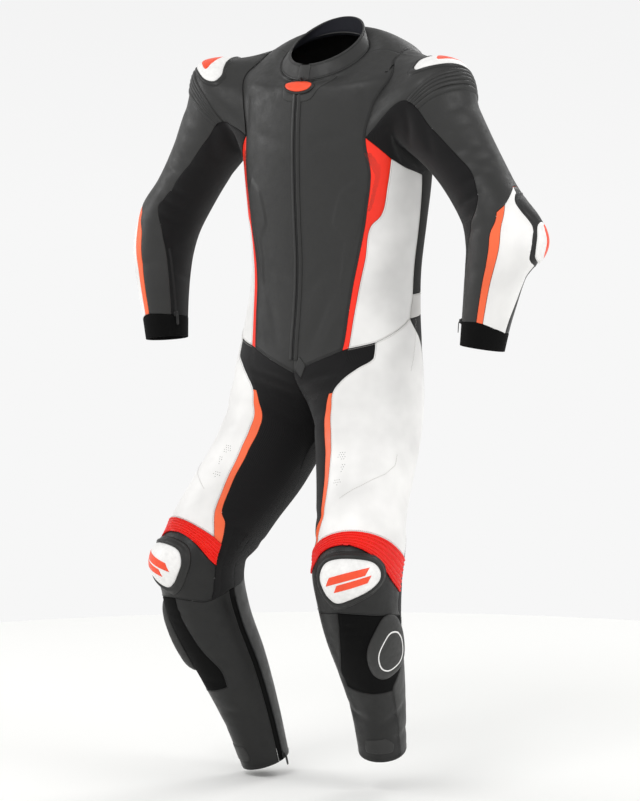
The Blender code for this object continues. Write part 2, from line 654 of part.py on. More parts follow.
def plan_cut(net, side, kind, first, last, top, end):
    """Which diagonal each corner cell takes and which half goes."""
    plan = []
    for cell, left, high in corners_cut(side, kind, first, last, top, end):
        _, _, i, j = cell
        if kind == "body":
            corner = net.index[(side, i if left else i + 1, j if high else j + 1)]
        else:
            k = i if left else (i + 1) % SLEEVE_TURN
            corner = net.index[(side, "arm", k, j if high else j + 1)]
        at = net.cells[cell].index(corner)
        other = at in (0, 2)
        halves = split(net.cells[cell], other)
        half = [m for m in (0, 1) if halves[m].count(corner)][0]
        plan.append((cell, other, half))
    return plan


MATERIALS = {}


def material(name, colour, roughness, metallic=0.0):
    if name not in MATERIALS:
        made = bpy.data.materials.new(name)
        made.use_nodes = True
        shader = made.node_tree.nodes["Principled BSDF"]
        shader.inputs["Base Color"].default_value = (*colour, 1.0)
        shader.inputs["Roughness"].default_value = roughness
        shader.inputs["Metallic"].default_value = metallic
        MATERIALS[name] = made
    return MATERIALS[name]


for thing in list(bpy.data.objects):
    bpy.data.objects.remove(thing)
COLLECTION = bpy.data.collections.new(OBJECT_NAME)
bpy.context.scene.collection.children.link(COLLECTION)

BLACK = (0.058, 0.058, 0.056)
KNEE_BLACK = (0.024, 0.023, 0.021)
STRETCH = (0.014, 0.012, 0.013)
WEB = (0.006, 0.006, 0.006)
WHITE = (0.88, 0.87, 0.85)
RED = (1.0, 0.060, 0.020)
ORANGE = (0.965, 0.170, 0.062)
RIB_RED = (0.930, 0.024, 0.006)
GREY = (0.60, 0.58, 0.55)
MESH_BLACK = (0.026, 0.026, 0.024)
PUCK = (0.040, 0.040, 0.038)

net = build_net()
C = COLUMN_AT
R = ROW_AT
S = SLEEVE_ROW_AT
OTHER_WAY = set()
PLANS = {}
PLATES = (
    # name           kind      first             last              top            end            thick
    ("knee_cup", "body", C["PATCH"], C["PATCH"] + 3, R["CUP_A"], R["CUP_D"], 0.011),
    ("slider_puck", "body", C["PATCH"] + 1, C["PATCH"] + 3, R["PATCH_A"] - 1, R["PATCH_C"], 0.012),
    ("shoulder_cap", "sleeve", 18, 22, S["CAP_TOP"], S["RIB_TOP"], 0.007),
    ("elbow_plate", "sleeve", 15, 18, S["ELBOW"], S["ELBOW_C"], 0.010),
)
for plate_name, kind, first, last, top, end, _ in PLATES:
    for side in (1, -1):
        plan = plan_cut(net, side, kind, first, last, top, end)
        PLANS[(plate_name, side)] = plan
        OTHER_WAY.update(cell for cell, other, _ in plan if other)


def panel(name, cells, wall, paint):
    points, normals, faces, _ = patch_of(net, cells, OTHER_WAY)
    return walled(name, points, normals, faces, wall, paint)


def both(side, *blocks):
    cells = []
    for kind, first, last, top, end in blocks:
        cells.extend(block(side, kind, first, last, top, end))
    return cells


def named(name, side):
    return f"{name}_{'left' if side == 1 else 'right'}"


for side in (1, -1):
    zip_end = R["GROIN"] - 1
    panel(named("front", side), both(
        side,
        ("body", C["ZIP"], C["IN"], R["NECK"], R["GROIN"]),
        ("body", C["CF"], C["ZIP"], zip_end, R["GROIN"]),
    ), LEATHER_WALL, material("front_leather_" + named("", side), BLACK, 0.55))
    panel(named("torso_strip", side), both(
        side, ("body", C["IN"], C["OUT"], R["ARM"], R["GROIN"]),
    ), LEATHER_WALL, material("torso_strip_" + named("", side), RED, 0.5))
    panel(named("side_panel", side), both(
        side, ("body", C["OUT"], C["SIDE"], R["ARM"], R["GROIN"]),
    ), LEATHER_WALL, material("side_panel_" + named("", side), WHITE, 0.5))
    panel(named("side_mesh", side), both(
        side, ("body", C["SIDE"], C["BACK"], R["ARM"], R["MESH"]),
    ), LEATHER_WALL, material("side_mesh_" + named("", side), MESH_BLACK, 0.6))
    panel(named("side_yoke", side), both(
        side, ("body", C["SIDE"], C["BACK"], R["MESH"], R["GROIN"]),
    ), LEATHER_WALL, material("side_yoke_" + named("", side), GREY, 0.6))
    panel(named("thigh", side), both(
        side, ("body", C["TIP"], C["SIDE"], R["GROIN"], R["RIB_TOP"]),
    ), LEATHER_WALL, material("thigh_" + named("", side), WHITE, 0.5))
    panel(named("thigh_strip", side), both(
        side, ("body", C["OUT"], C["TIP"], R["STRIP"], R["RIB_TOP"]),
    ), LEATHER_WALL, material("thigh_strip_" + named("", side), ORANGE, 0.5))
    ribbed(net, named("knee_ribs", side), both(
        side, ("body", C["OUT"], C["SIDE"], R["RIB_TOP"], R["RIB_END"]),
    ), KNEE_RIBS, KNEE_RIB_HEIGHT, LEATHER_WALL, material("knee_ribs_" + named("", side), RIB_RED, 0.6))
    panel(named("knee_panel", side), both(
        side, ("body", C["OUT"], C["SIDE"], R["RIB_END"], R["KNEE_END"]),
    ), LEATHER_WALL, material("knee_panel_" + named("", side), KNEE_BLACK, 0.5))
    panel(named("slider_patch", side), both(
        side, ("body", C["PATCH"], C["SIDE"], R["KNEE_END"], R["PATCH_D"]),
    ), LEATHER_WALL, material("slider_patch_" + named("", side), WEB, 0.9))
    panel(named("shin", side), both(
        side,
        ("body", C["ZIP"], C["PATCH"], R["KNEE_END"], R["HEM"]),
        ("body", C["PATCH"], C["SIDE"], R["PATCH_D"], R["HEM"]),
    ), LEATHER_WALL, material("shin_" + named("", side), KNEE_BLACK, 0.55))
    panel(named("calf", side), both(
        side, ("body", C["SIDE"], C["CB"], R["KNEE_END"], R["HEM"]),
    ), LEATHER_WALL, material("calf_" + named("", side), BLACK, 0.6))
    panel(named("calf_zip", side), both(
        side, ("body", C["CF"], C["ZIP"], R["KNEE_END"], R["HEM"]),
    ), STRETCH_WALL, material("calf_zip_" + named("", side), WEB, 0.8))

    panel(named("shoulder", side), both(
        side, ("sleeve", 14, 24, S["ARMHOLE"], S["RIB_TOP"]),
    ), LEATHER_WALL, material("shoulder_" + named("", side), BLACK, 0.55))
    ribbed(net, named("shoulder_ribs", side), both(
        side, ("sleeve", 14, 24, S["RIB_TOP"], S["RIB_END"]),
    ), SHOULDER_RIBS, SHOULDER_RIB_HEIGHT, LEATHER_WALL,
        material("shoulder_ribs_" + named("", side), BLACK, 0.6))
    panel(named("upper_sleeve", side), both(
        side,
        ("sleeve", 14, 24, S["RIB_END"], S["ELBOW"]),
        ("sleeve", 3, 5, S["ELBOW"], S["CUFF"]),
    ), LEATHER_WALL, material("upper_sleeve_" + named("", side), BLACK, 0.55))
    panel(named("inner_sleeve", side), both(
        side, ("sleeve", 5, 14, S["ARMHOLE"], S["CUFF"]),
    ), STRETCH_WALL, material("inner_sleeve_" + named("", side), STRETCH, 0.85))
    panel(named("forearm_strip", side), both(
        side, ("sleeve", 2, 3, S["ELBOW"], S["CUFF"]),
    ), LEATHER_WALL, material("forearm_strip_" + named("", side), ORANGE, 0.5))
    panel(named("forearm_white", side), both(
        side, ("sleeve", 0, 2, S["ELBOW"], S["CUFF"]),
    ), LEATHER_WALL, material("forearm_white_" + named("", side), WHITE, 0.5))
    panel(named("elbow_panel", side), both(
        side, ("sleeve", 14, 19, S["ELBOW"], S["CUFF"]),
    ), LEATHER_WALL, material("elbow_panel_" + named("", side), KNEE_BLACK, 0.55))
    panel(named("cuff", side), both(
        side, ("sleeve", 0, 19, S["CUFF"], S["END"]),
    ), CUFF_WALL, material("cuff_" + named("", side), WEB, 0.8))
    for plate_name, kind, first, last, top, end, thick in PLATES:
        plate(net, named(plate_name, side), block(side, kind, first, last, top, end), thick,
              material(plate_name + named("", side), PUCK if plate_name == "slider_puck" else WHITE, 0.35),
              PLANS[(plate_name, side)])

# Pieces that cross the middle
middle_front = []
collar_cells = []
yoke_cells = []
back_cells = []
for side in (1, -1):
    middle_front += block(side, "body", C["CF"], C["ZIP"], R["COLLAR_TOP"], R["GROIN"] - 1)
    collar_cells += block(side, "body", C["ZIP"], C["IN"], R["COLLAR_TOP"], R["NECK"])
    collar_cells += block(side, "body", C["BACK"], C["CB"], R["COLLAR_TOP"], R["NECK"])
    yoke_cells += block(side, "body", C["BACK"], C["CB"], R["NECK"], R["ARM"])
    back_cells += block(side, "body", C["BACK"], C["CB"], R["ARM"], R["GROIN"])
    panel(named("seat_stretch", side), both(
        side,
        ("body", C["CF"], C["TIP"], R["GROIN"], R["STRIP"]),
        ("body", C["CF"], C["OUT"], R["STRIP"], R["LEG_B"]),
        ("body", C["SIDE"], C["CB"], R["GROIN"], R["LEG_B"]),
    ), STRETCH_WALL, material("seat_stretch_" + named("", side), STRETCH, 0.85))
    panel(named("leg_stretch", side), both(
        side,
        ("body", C["CF"], C["OUT"], R["LEG_B"], R["KNEE_END"]),
        ("body", C["SIDE"], C["CB"], R["LEG_B"], R["KNEE_END"]),
    ), STRETCH_WALL, material("leg_stretch_" + named("", side), STRETCH, 0.85))
panel("zip", middle_front, STRETCH_WALL, material("zip_tape", WEB, 0.7))
panel("collar", collar_cells, COLLAR_WALL, material("collar_leather", BLACK, 0.55))
panel("back_yoke", yoke_cells, LEATHER_WALL, material("back_yoke_leather", BLACK, 0.55))
panel("back", back_cells, LEATHER_WALL, material("back_leather", BLACK, 0.55))
badge_cells = []
for side in (1, -1):
    badge_cells += block(side, "body", C["CF"], C["ZIP"] + 1, R["NECK"], R["TOP"] + 1)
    for m, half in enumerate(BADGE_HALF_WIDTHS):
        near = net.points[net.index[(side, C["ZIP"], R["NECK"] + m)]]
        far = net.points[net.index[(side, C["ZIP"] + 1, R["NECK"] + m)]]
        share = (half - abs(near[0])) / (abs(far[0]) - abs(near[0]))
        net.points[net.index[(side, C["ZIP"] + 1, R["NECK"] + m)]] = near + (far - near) * share
plate(net, "collar_badge", badge_cells, 0.004, material("badge_orange", ORANGE, 0.4))
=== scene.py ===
import math

import bmesh
import bpy
import numpy as np
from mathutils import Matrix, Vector

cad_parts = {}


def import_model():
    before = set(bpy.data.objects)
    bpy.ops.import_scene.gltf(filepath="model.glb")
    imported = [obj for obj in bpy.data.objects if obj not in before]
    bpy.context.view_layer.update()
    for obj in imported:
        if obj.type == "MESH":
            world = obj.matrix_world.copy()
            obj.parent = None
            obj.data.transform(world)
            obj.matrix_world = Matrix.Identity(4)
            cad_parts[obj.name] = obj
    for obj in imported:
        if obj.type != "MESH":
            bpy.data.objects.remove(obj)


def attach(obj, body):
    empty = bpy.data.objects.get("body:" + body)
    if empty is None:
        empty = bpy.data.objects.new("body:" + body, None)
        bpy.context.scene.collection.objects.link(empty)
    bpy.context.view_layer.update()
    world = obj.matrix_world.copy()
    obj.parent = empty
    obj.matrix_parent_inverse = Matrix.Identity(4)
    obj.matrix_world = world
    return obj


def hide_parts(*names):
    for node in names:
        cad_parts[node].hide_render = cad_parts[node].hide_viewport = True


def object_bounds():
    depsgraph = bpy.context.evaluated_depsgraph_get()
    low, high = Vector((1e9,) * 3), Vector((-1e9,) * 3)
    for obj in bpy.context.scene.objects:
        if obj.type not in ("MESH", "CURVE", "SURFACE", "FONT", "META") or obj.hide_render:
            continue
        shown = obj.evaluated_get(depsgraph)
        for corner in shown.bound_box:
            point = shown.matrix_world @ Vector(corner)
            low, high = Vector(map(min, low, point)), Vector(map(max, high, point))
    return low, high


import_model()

cad_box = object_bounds()

# ---------------------------------------------------------------- studio
# A round pale painted floor just below the hems, a pale wall of light all round, one wide
# soft lamp in front and two at the sides. The camera looks a little down at the suit.


def linear(hex_colour):
    """sRGB hex to the linear colour that a shader takes."""
    parts = [int(hex_colour[i:i + 2], 16) / 255 for i in (1, 3, 5)]
    return tuple(p / 12.92 if p <= 0.04045 else ((p + 0.055) / 1.055) ** 2.4 for p in parts) + (1.0,)


def node(tree, kind, inputs=(), **settings):
    """Add a shader node; inputs are (socket name or number, value or other node's output)."""
    made = tree.nodes.new(kind)
    for name, value in settings.items():
        setattr(made, name, value)
    for socket, value in dict(inputs).items():
        if isinstance(value, bpy.types.NodeSocket):
            tree.links.new(value, made.inputs[socket])
        else:
            made.inputs[socket].default_value = value
    return made


def finish_of(name, colour, roughness, ior=1.5):
    """A new material with its Principled shader set, and the tree to add to."""
    made = bpy.data.materials.new(name)
    made.use_nodes = True
    tree = made.node_tree
    shader = tree.nodes["Principled BSDF"]
    shader.inputs["Base Color"].default_value = colour
    shader.inputs["Roughness"].default_value = roughness
    shader.inputs["IOR"].default_value = ior
    return made, tree, shader


FLOOR_DROP = 0.012
paint, tree, shader = finish_of("matt_floor_paint", linear("#fcfcfa"), 0.9)
tree.links.new(node(tree, "ShaderNodeBump", {"Strength": 0.05, "Distance": 0.002, "Height": node(
    tree, "ShaderNodeTexNoise", {"Scale": 60.0}).outputs["Fac"]}).outputs["Normal"], shader.inputs["Normal"])
floor_mesh = bpy.data.meshes.new("studio_floor")
low = cad_box[0][2] - FLOOR_DROP
FLOOR_RADIUS, FLOOR_SIDES = 2.1, 128
turns = [2 * math.pi * n / FLOOR_SIDES for n in range(FLOOR_SIDES)]
rim = [(FLOOR_RADIUS * math.cos(turn), FLOOR_RADIUS * math.sin(turn), low) for turn in turns]
floor_mesh.from_pydata(rim, [], [tuple(range(FLOOR_SIDES))])
floor = bpy.data.objects.new("studio_floor", floor_mesh)
floor.data.materials.append(paint)
bpy.context.scene.collection.objects.link(floor)

world = bpy.data.worlds.new("studio_white")
bpy.context.scene.world = world
world.use_nodes = True
world.node_tree.nodes["Background"].inputs["Color"].default_value = (1.0, 1.0, 1.0, 1.0)
to_sky = node(world.node_tree, "ShaderNodeSeparateXYZ", {
    0: node(world.node_tree, "ShaderNodeTexCoord").outputs["Generated"]})
sky = node(world.node_tree, "ShaderNodeMapRange",
           {"Value": to_sky.outputs["Z"], "From Min": 0.0, "From Max": 0.8,
                                                   "To Min": 0.93, "To Max": 0.64})
world.node_tree.links.new(sky.outputs["Result"], world.node_tree.nodes["Background"].inputs["Strength"])
bpy.context.scene.view_settings.view_transform = "Standard"

VIEW_TURN, VIEW_RISE, VIEW_AWAY = math.radians(34), math.radians(4), 5.0
VIEW_AT = Vector((0.0, -0.06, -0.66))
MM_PER_PIXEL_HIGH = 1.84 * 801 / 1000
camera_data = bpy.data.cameras.new("studio_camera")
camera_data.sensor_fit = "VERTICAL"
camera_data.sensor_height = 36.0
camera_data.lens = 36.0 * VIEW_AWAY / MM_PER_PIXEL_HIGH
camera = bpy.data.objects.new("studio_camera", camera_data)
bpy.context.scene.collection.objects.link(camera)
level = math.cos(VIEW_RISE)
towards = Vector((math.sin(VIEW_TURN) * level, -math.cos(VIEW_TURN) * level, math.sin(VIEW_RISE)))
camera.location = VIEW_AT + towards * VIEW_AWAY
camera.rotation_euler = towards.to_track_quat("Z", "Y").to_euler()
bpy.context.scene.camera = camera
LAMPS = (
    # name         place                size  watts
    ("lamp_front", (0.2, -3.0, 3.0), 1.6, 44.0),
    ("lamp_left", (3.4, -0.2, 1.2), 1.2, 26.0),
    ("lamp_right", (-3.2, -1.4, 0.8), 1.2, 24.0),
    ("lamp_back", (0.2, 3.2, 2.2), 1.6, 34.0),
)
for name, place, size, watts in LAMPS:
    lamp_data = bpy.data.lights.new(name, "AREA")
    lamp_data.size = size
    lamp_data.energy = watts
    lamp = bpy.data.objects.new(name, lamp_data)
    lamp.location = place
    lamp.rotation_euler = (Vector(place) - Vector((0, 0, -0.6))).to_track_quat("Z", "Y").to_euler()
    bpy.context.scene.collection.objects.link(lamp)

# ---------------------------------------------------------------- the suit's surface
# The worn suit is one skin: a tube of rings for the body and legs, and one for each
# sleeve. Seams run along the named columns and rows, and each panel is the part between.

LEAN, HIP_SWAY, TWIST = 0.030, 0.008, 0.045
ANKLE_UP, ANKLE_DOWN, ANKLE_FROM, HEM_S = 0.032, 0.015, 1.00, 1.37
BODY_RINGS = (
    # s     cx     cy      cz      a      bf     bb     q     open pitch roll
    (0.00, 0.000, -0.038, -0.024, 0.086, 0.094, 0.070, 0.00, 90, -34, 0),
    (0.03, 0.000, -0.026, -0.017, 0.114, 0.107, 0.080, 0.02, 90, -36, 0),
    (0.06, 0.000, -0.016, -0.025, 0.147, 0.122, 0.094, 0.03, 90, -29, 0),
    (0.09, 0.000, -0.010, -0.043, 0.176, 0.128, 0.110, 0.04, 90, -21, 0),
    (0.13, 0.000, -0.004, -0.090, 0.187, 0.131, 0.124, 0.05, 90, -7, 0),
    (0.19, 0.000, 0.000, -0.165, 0.186, 0.140, 0.128, 0.05, 90, -2, 0),
    (0.26, 0.000, 0.004, -0.245, 0.180, 0.144, 0.124, 0.05, 90, 0, 0),
    (0.34, 0.000, 0.004, -0.330, 0.171, 0.140, 0.114, 0.05, 90, 0, 0),
    (0.42, 0.000, 0.000, -0.415, 0.164, 0.130, 0.108, 0.05, 90, 0, 0),
    (0.50, 0.000, -0.006, -0.495, 0.170, 0.124, 0.110, 0.05, 90, 0, 0),
    (0.57, 0.000, -0.014, -0.565, 0.182, 0.120, 0.116, 0.04, 92, 0, 0),
    (0.63, 0.058, -0.024, -0.625, 0.130, 0.116, 0.118, 0.02, 116, 4, 0),
    (0.68, 0.090, -0.036, -0.675, 0.104, 0.108, 0.112, 0.00, 150, 8, 0),
    (0.72, 0.102, -0.052, -0.715, 0.096, 0.100, 0.108, 0.00, 180, 12, 4),
    (0.79, 0.118, -0.090, -0.780, 0.090, 0.092, 0.098, 0.00, 180, 22, 8),
    (0.87, 0.141, -0.136, -0.848, 0.084, 0.086, 0.086, 0.00, 180, 26, 10),
    (0.94, 0.161, -0.176, -0.905, 0.080, 0.080, 0.098, 0.00, 180, 18, 8),
    (0.99, 0.170, -0.198, -0.952, 0.077, 0.080, 0.098, 0.00, 180, 0, 2),
    (1.04, 0.172, -0.194, -1.000, 0.073, 0.076, 0.090, 0.00, 180, -16, -4),
    (1.11, 0.166, -0.172, -1.066, 0.069, 0.068, 0.080, 0.00, 180, -22, -8),
    (1.20, 0.153, -0.124, -1.152, 0.061, 0.060, 0.069, 0.00, 180, -24, -10),
    (1.29, 0.141, -0.080, -1.244, 0.050, 0.052, 0.058, 0.00, 180, -20, -10),
    (1.37, 0.131, -0.050, -1.330, 0.043, 0.046, 0.050, 0.00, 180, -16, -8),
)
COLLAR_TOP_RING = (0.0, 0.0, -0.037, -0.002, 0.067, 0.085, 0.086, 0.0, 90, -33, 0)
SLEEVE_START = (0.165, -0.016, -0.10)
SLEEVE_RINGS = (
    # w     cx     cy      cz      a      b
    (0.05, 0.216, -0.030, -0.122, 0.090, 0.082),
    (0.12, 0.250, -0.030, -0.165, 0.072, 0.070),
    (0.20, 0.292, -0.028, -0.222, 0.060, 0.060),
    (0.27, 0.330, -0.030, -0.280, 0.056, 0.058),
    (0.33, 0.360, -0.036, -0.328, 0.059, 0.060),
    (0.39, 0.370, -0.046, -0.385, 0.057, 0.056),
    (0.46, 0.363, -0.056, -0.450, 0.048, 0.050),
    (0.53, 0.354, -0.062, -0.512, 0.041, 0.043),
    (0.58, 0.348, -0.065, -0.558, 0.037, 0.040),
)
ARMHOLE = (
    # phi   u      s
    (0.000, 0.500, 0.058),
    (0.060, 0.420, 0.066),
    (0.120, 0.330, 0.100),
    (0.180, 0.270, 0.135),
    (0.240, 0.245, 0.168),
    (0.310, 0.235, 0.198),
    (0.370, 0.330, 0.232),
    (0.430, 0.380, 0.243),
    (0.500, 0.500, 0.257),
    (0.570, 0.610, 0.245),
    (0.680, 0.710, 0.205),
    (0.750, 0.720, 0.168),
    (0.820, 0.700, 0.135),
    (0.890, 0.650, 0.100),
    (0.950, 0.570, 0.066),
    (1.000, 0.500, 0.058),
)

# name, steps to the next row, rise between TIP and SIDE, then (u, s) at each column
COLUMNS = {"CF": 0, "ZIP": 1, "IN": 5, "OUT": 6, "TIP": 7, "PATCH": 8, "SIDE": 12, "BACK": 14, "CB": 18}
ROWS = (
    # name steps rise  CF     ZIP             IN              OUT             TIP
    #      PATCH           SIDE            BACK            CB
    ("NECK", 2, 0.0, 0.000, (0.028, 0.000), (0.500, 0.000), None, None,
     None, None, (0.500, 0.000), 0.000),
    ("TOP", 1, 0.0, 0.100, (0.014, 0.100), (0.500, 0.058), None, None,
     None, None, (0.500, 0.058), 0.050),
    ("A1", 1, 0.0, 0.125, (0.014, 0.125), (0.420, 0.066), None, None,
     None, None, (0.570, 0.066), 0.080),
    ("A2", 1, 0.0, 0.145, (0.014, 0.145), (0.330, 0.100), None, None,
     None, None, (0.650, 0.100), 0.110),
    ("A3", 1, 0.0, 0.165, (0.014, 0.165), (0.270, 0.135), None, None,
     None, None, (0.700, 0.135), 0.140),
    ("A4", 1, 0.0, 0.182, (0.014, 0.182), (0.245, 0.168), None, None,
     None, None, (0.720, 0.168), 0.170),
    ("ARM", 2, 0.0, 0.200, (0.014, 0.200), (0.235, 0.198), (0.330, 0.232), (0.380, 0.243),
     (0.405, 0.247), (0.500, 0.257), (0.710, 0.205), 0.205),
    ("CHEST", 2, 0.0, 0.262, (0.014, 0.262), (0.258, 0.265), (0.322, 0.275), (0.380, 0.278),
     (0.406, 0.280), (0.510, 0.285), (0.680, 0.270), 0.265),
    ("NOTCH_A", 1, 0.0, 0.325, (0.014, 0.325), (0.250, 0.328), (0.303, 0.330), (0.380, 0.333),
     (0.408, 0.334), (0.518, 0.340), (0.670, 0.330), 0.325),
    ("NOTCH_B", 2, 0.0, 0.345, (0.014, 0.345), (0.247, 0.345), (0.268, 0.348), (0.370, 0.350),
     (0.400, 0.352), (0.518, 0.360), (0.670, 0.355), 0.350),
    ("WAIST", 2, 0.0, 0.405, (0.014, 0.405), (0.228, 0.403), (0.252, 0.405), (0.350, 0.410),
     (0.383, 0.411), (0.515, 0.415), (0.670, 0.410), 0.405),
    ("MESH", 3, 0.0, 0.475, (0.014, 0.475), (0.205, 0.463), (0.228, 0.463), (0.340, 0.465),
     (0.374, 0.466), (0.510, 0.468), (0.680, 0.465), 0.455),
    ("GROIN", 1, 0.0, 0.618, (0.020, 0.612), (0.178, 0.568), (0.198, 0.564), (0.290, 0.553),
     (0.330, 0.545), (0.490, 0.512), (0.680, 0.505), 0.505),
    ("T_A", 1, 0.0, 0.635, (0.020, 0.632), (0.170, 0.595), (0.195, 0.592), (0.290, 0.580),
     (0.331, 0.573), (0.575, 0.550), (0.690, 0.550), 0.560),
    ("T_B", 1, 0.0, 0.652, (0.020, 0.650), (0.150, 0.618), (0.185, 0.610), (0.240, 0.603),
     (0.300, 0.598), (0.625, 0.584), (0.700, 0.595), 0.610),
    ("T_C", 1, 0.0, 0.670, (0.020, 0.668), (0.135, 0.638), (0.176, 0.632), (0.200, 0.627),
     (0.285, 0.624), (0.640, 0.616), (0.710, 0.632), 0.650),
    ("STRIP", 1, 0.0, 0.695, (0.020, 0.693), (0.120, 0.668), (0.167, 0.657), (0.180, 0.655),
     (0.280, 0.653), (0.645, 0.652), (0.720, 0.668), 0.690),
    ("CROTCH", 1, 0.0, 0.720, (0.020, 0.720), (0.120, 0.708), (0.176, 0.693), (0.200, 0.692),
     (0.290, 0.691), (0.650, 0.692), (0.730, 0.705), 0.720),
    ("LEG_A", 1, 0.0, 0.760, (0.020, 0.760), (0.120, 0.748), (0.200, 0.737), (0.228, 0.737),
     (0.312, 0.737), (0.650, 0.741), (0.740, 0.748), 0.760),
    ("LEG_B", 2, 0.0, 0.808, (0.020, 0.808), (0.115, 0.800), (0.190, 0.795), (0.214, 0.797),
     (0.300, 0.798), (0.645, 0.801), (0.750, 0.800), 0.808),
    ("LEG_C", 1, 0.0, 0.865, (0.020, 0.865), (0.110, 0.860), (0.178, 0.857), (0.199, 0.858),
     (0.285, 0.859), (0.635, 0.861), (0.750, 0.860), 0.865),
    ("LEG_D", 1, 0.0, 0.910, (0.020, 0.910), (0.100, 0.907), (0.158, 0.904), (0.182, 0.902),
     (0.265, 0.902), (0.618, 0.906), (0.750, 0.905), 0.910),
    ("LEG_E", 1, -0.006, 0.932, (0.020, 0.932), (0.082, 0.930), (0.122, 0.924), (0.168, 0.920),
     (0.248, 0.918), (0.600, 0.930), (0.752, 0.925), 0.932),
    ("RIB_TOP", 1, -0.020, 0.964, (0.022, 0.964), (0.070, 0.961), (0.102, 0.955), (0.138, 0.948),
     (0.210, 0.951), (0.580, 0.962), (0.756, 0.955), 0.960),
    ("RIB_END", 1, -0.048, 0.994, (0.025, 0.994), (0.064, 0.993), (0.092, 0.989), (0.126, 0.979),
     (0.203, 0.988), (0.550, 1.026), (0.760, 0.988), 0.984),
    ("CUP_A", 1, -0.046, 1.003, (0.026, 1.003), (0.064, 1.002), (0.090, 1.000), (0.121, 0.992),
     (0.198, 1.000), (0.545, 1.036), (0.762, 1.000), 0.996),
    ("CUP_B", 1, -0.040, 1.012, (0.027, 1.012), (0.065, 1.012), (0.091, 1.010), (0.121, 1.005),
     (0.195, 1.012), (0.542, 1.044), (0.764, 1.012), 1.008),
    ("CUP_C", 1, -0.035, 1.021, (0.028, 1.021), (0.066, 1.022), (0.095, 1.021), (0.126, 1.018),
     (0.198, 1.024), (0.542, 1.052), (0.766, 1.024), 1.020),
    ("CUP_D", 1, -0.031, 1.031, (0.029, 1.031), (0.069, 1.033), (0.100, 1.034), (0.134, 1.032),
     (0.210, 1.037), (0.545, 1.062), (0.768, 1.036), 1.032),
    ("KNEE_END", 1, -0.022, 1.043, (0.030, 1.043), (0.076, 1.046), (0.112, 1.048), (0.148, 1.047),
     (0.262, 1.053), (0.562, 1.076), (0.770, 1.050), 1.044),
    ("PATCH_A", 1, -0.008, 1.084, (0.030, 1.084), (0.078, 1.086), (0.114, 1.088), (0.150, 1.090),
     (0.250, 1.092), (0.590, 1.106), (0.775, 1.088), 1.084),
    ("PATCH_B", 1, 0.0, 1.128, (0.030, 1.128), (0.076, 1.130), (0.108, 1.132), (0.140, 1.134),
     (0.225, 1.136), (0.580, 1.146), (0.775, 1.130), 1.128),
    ("PATCH_C", 1, 0.0, 1.172, (0.032, 1.172), (0.072, 1.174), (0.100, 1.176), (0.128, 1.178),
     (0.190, 1.182), (0.520, 1.184), (0.770, 1.174), 1.172),
    ("PATCH_D", 3, 0.0, 1.205, (0.034, 1.205), (0.072, 1.207), (0.100, 1.208), (0.130, 1.209),
     (0.200, 1.210), (0.450, 1.218), (0.765, 1.208), 1.205),
    ("ANKLE", 2, 0.0, 1.310, (0.040, 1.310), (0.080, 1.310), (0.110, 1.310), (0.145, 1.310),
     (0.235, 1.310), (0.470, 1.312), (0.760, 1.310), 1.310),
    ("HEM", 0, 0.0, HEM_S, (0.044, HEM_S), (0.085, HEM_S), (0.115, HEM_S), (0.150, HEM_S),
     (0.235, HEM_S), (0.480, HEM_S), (0.760, HEM_S), HEM_S),
)
SLEEVE_ROWS = (
    # name        steps OUTER            STRIP_OUT       STRIP_IN        FRONT           BACK
    ("CAP_TOP", 1, (0.000, 0.012), (0.120, 0.012), (0.180, 0.012), (0.305, 0.012), (0.690, 0.012)),
    ("CAP_MID", 1, (0.000, 0.037), (0.115, 0.037), (0.175, 0.037), (0.295, 0.037), (0.690, 0.037)),
    ("RIB_TOP", 1, (0.000, 0.064), (0.110, 0.063), (0.165, 0.062), (0.285, 0.062), (0.690, 0.064)),
    ("RIB_END", 1, (0.000, 0.094), (0.106, 0.092), (0.160, 0.090), (0.275, 0.086), (0.690, 0.094)),
    ("UPPER_A", 1, (0.000, 0.145), (0.104, 0.145), (0.156, 0.145), (0.262, 0.145), (0.690, 0.145)),
    ("UPPER_B", 1, (0.000, 0.195), (0.096, 0.195), (0.146, 0.195), (0.248, 0.195), (0.690, 0.195)),
    ("UPPER_C", 1, (0.010, 0.243), (0.080, 0.248), (0.130, 0.250), (0.225, 0.246), (0.690, 0.240)),
    ("ELBOW", 1, (0.030, 0.292), (0.115, 0.325), (0.160, 0.335), (0.235, 0.300), (0.690, 0.285)),
    ("ELBOW_A", 1, (0.015, 0.332), (0.152, 0.360), (0.205, 0.366), (0.305, 0.340), (0.690, 0.322)),
    ("ELBOW_B", 1, (-0.060, 0.366), (0.165, 0.388), (0.217, 0.392), (0.345, 0.375), (0.690, 0.356)),
    ("ELBOW_C", 1, (-0.070, 0.398), (0.175, 0.415), (0.223, 0.418), (0.372, 0.408), (0.690, 0.390)),
    ("FORE_A", 3, (-0.060, 0.430), (0.181, 0.445), (0.226, 0.447), (0.386, 0.440), (0.690, 0.425)),
    ("CUFF", 1, (0.000, 0.540), (0.185, 0.528), (0.230, 0.527), (0.400, 0.532), (0.700, 0.537)),
    ("END", 0, (0.000, 0.576), (0.185, 0.576), (0.230, 0.576), (0.400, 0.576), (0.700, 0.576)),
)
SLEEVE_COLUMNS = (0, 2, 3, 5, 14, 19)
ARMHOLE_TURNS = (0, 0.06, 0.12, 0.18, 0.24, 0.31, 0.37, 0.43, 0.4446, 0.4584, 0.4723, 0.4861, 0.50, 0.578,
                 0.68, 0.75, 0.82, 0.89, 0.95, 1.0)
# padding under the skin: tube, centre, half spans, height
PADDING = (
    ("body", 0.315, 0.990, 0.190, 0.048, 0.012),
    ("sleeve", -0.090, 0.372, 0.150, 0.062, 0.024),
    ("sleeve", 0.040, 0.055, 0.160, 0.045, 0.006),
)


def eased(x):
    x = np.clip(x, 0.0, 1.0)
    return x * x * (3 - 2 * x)


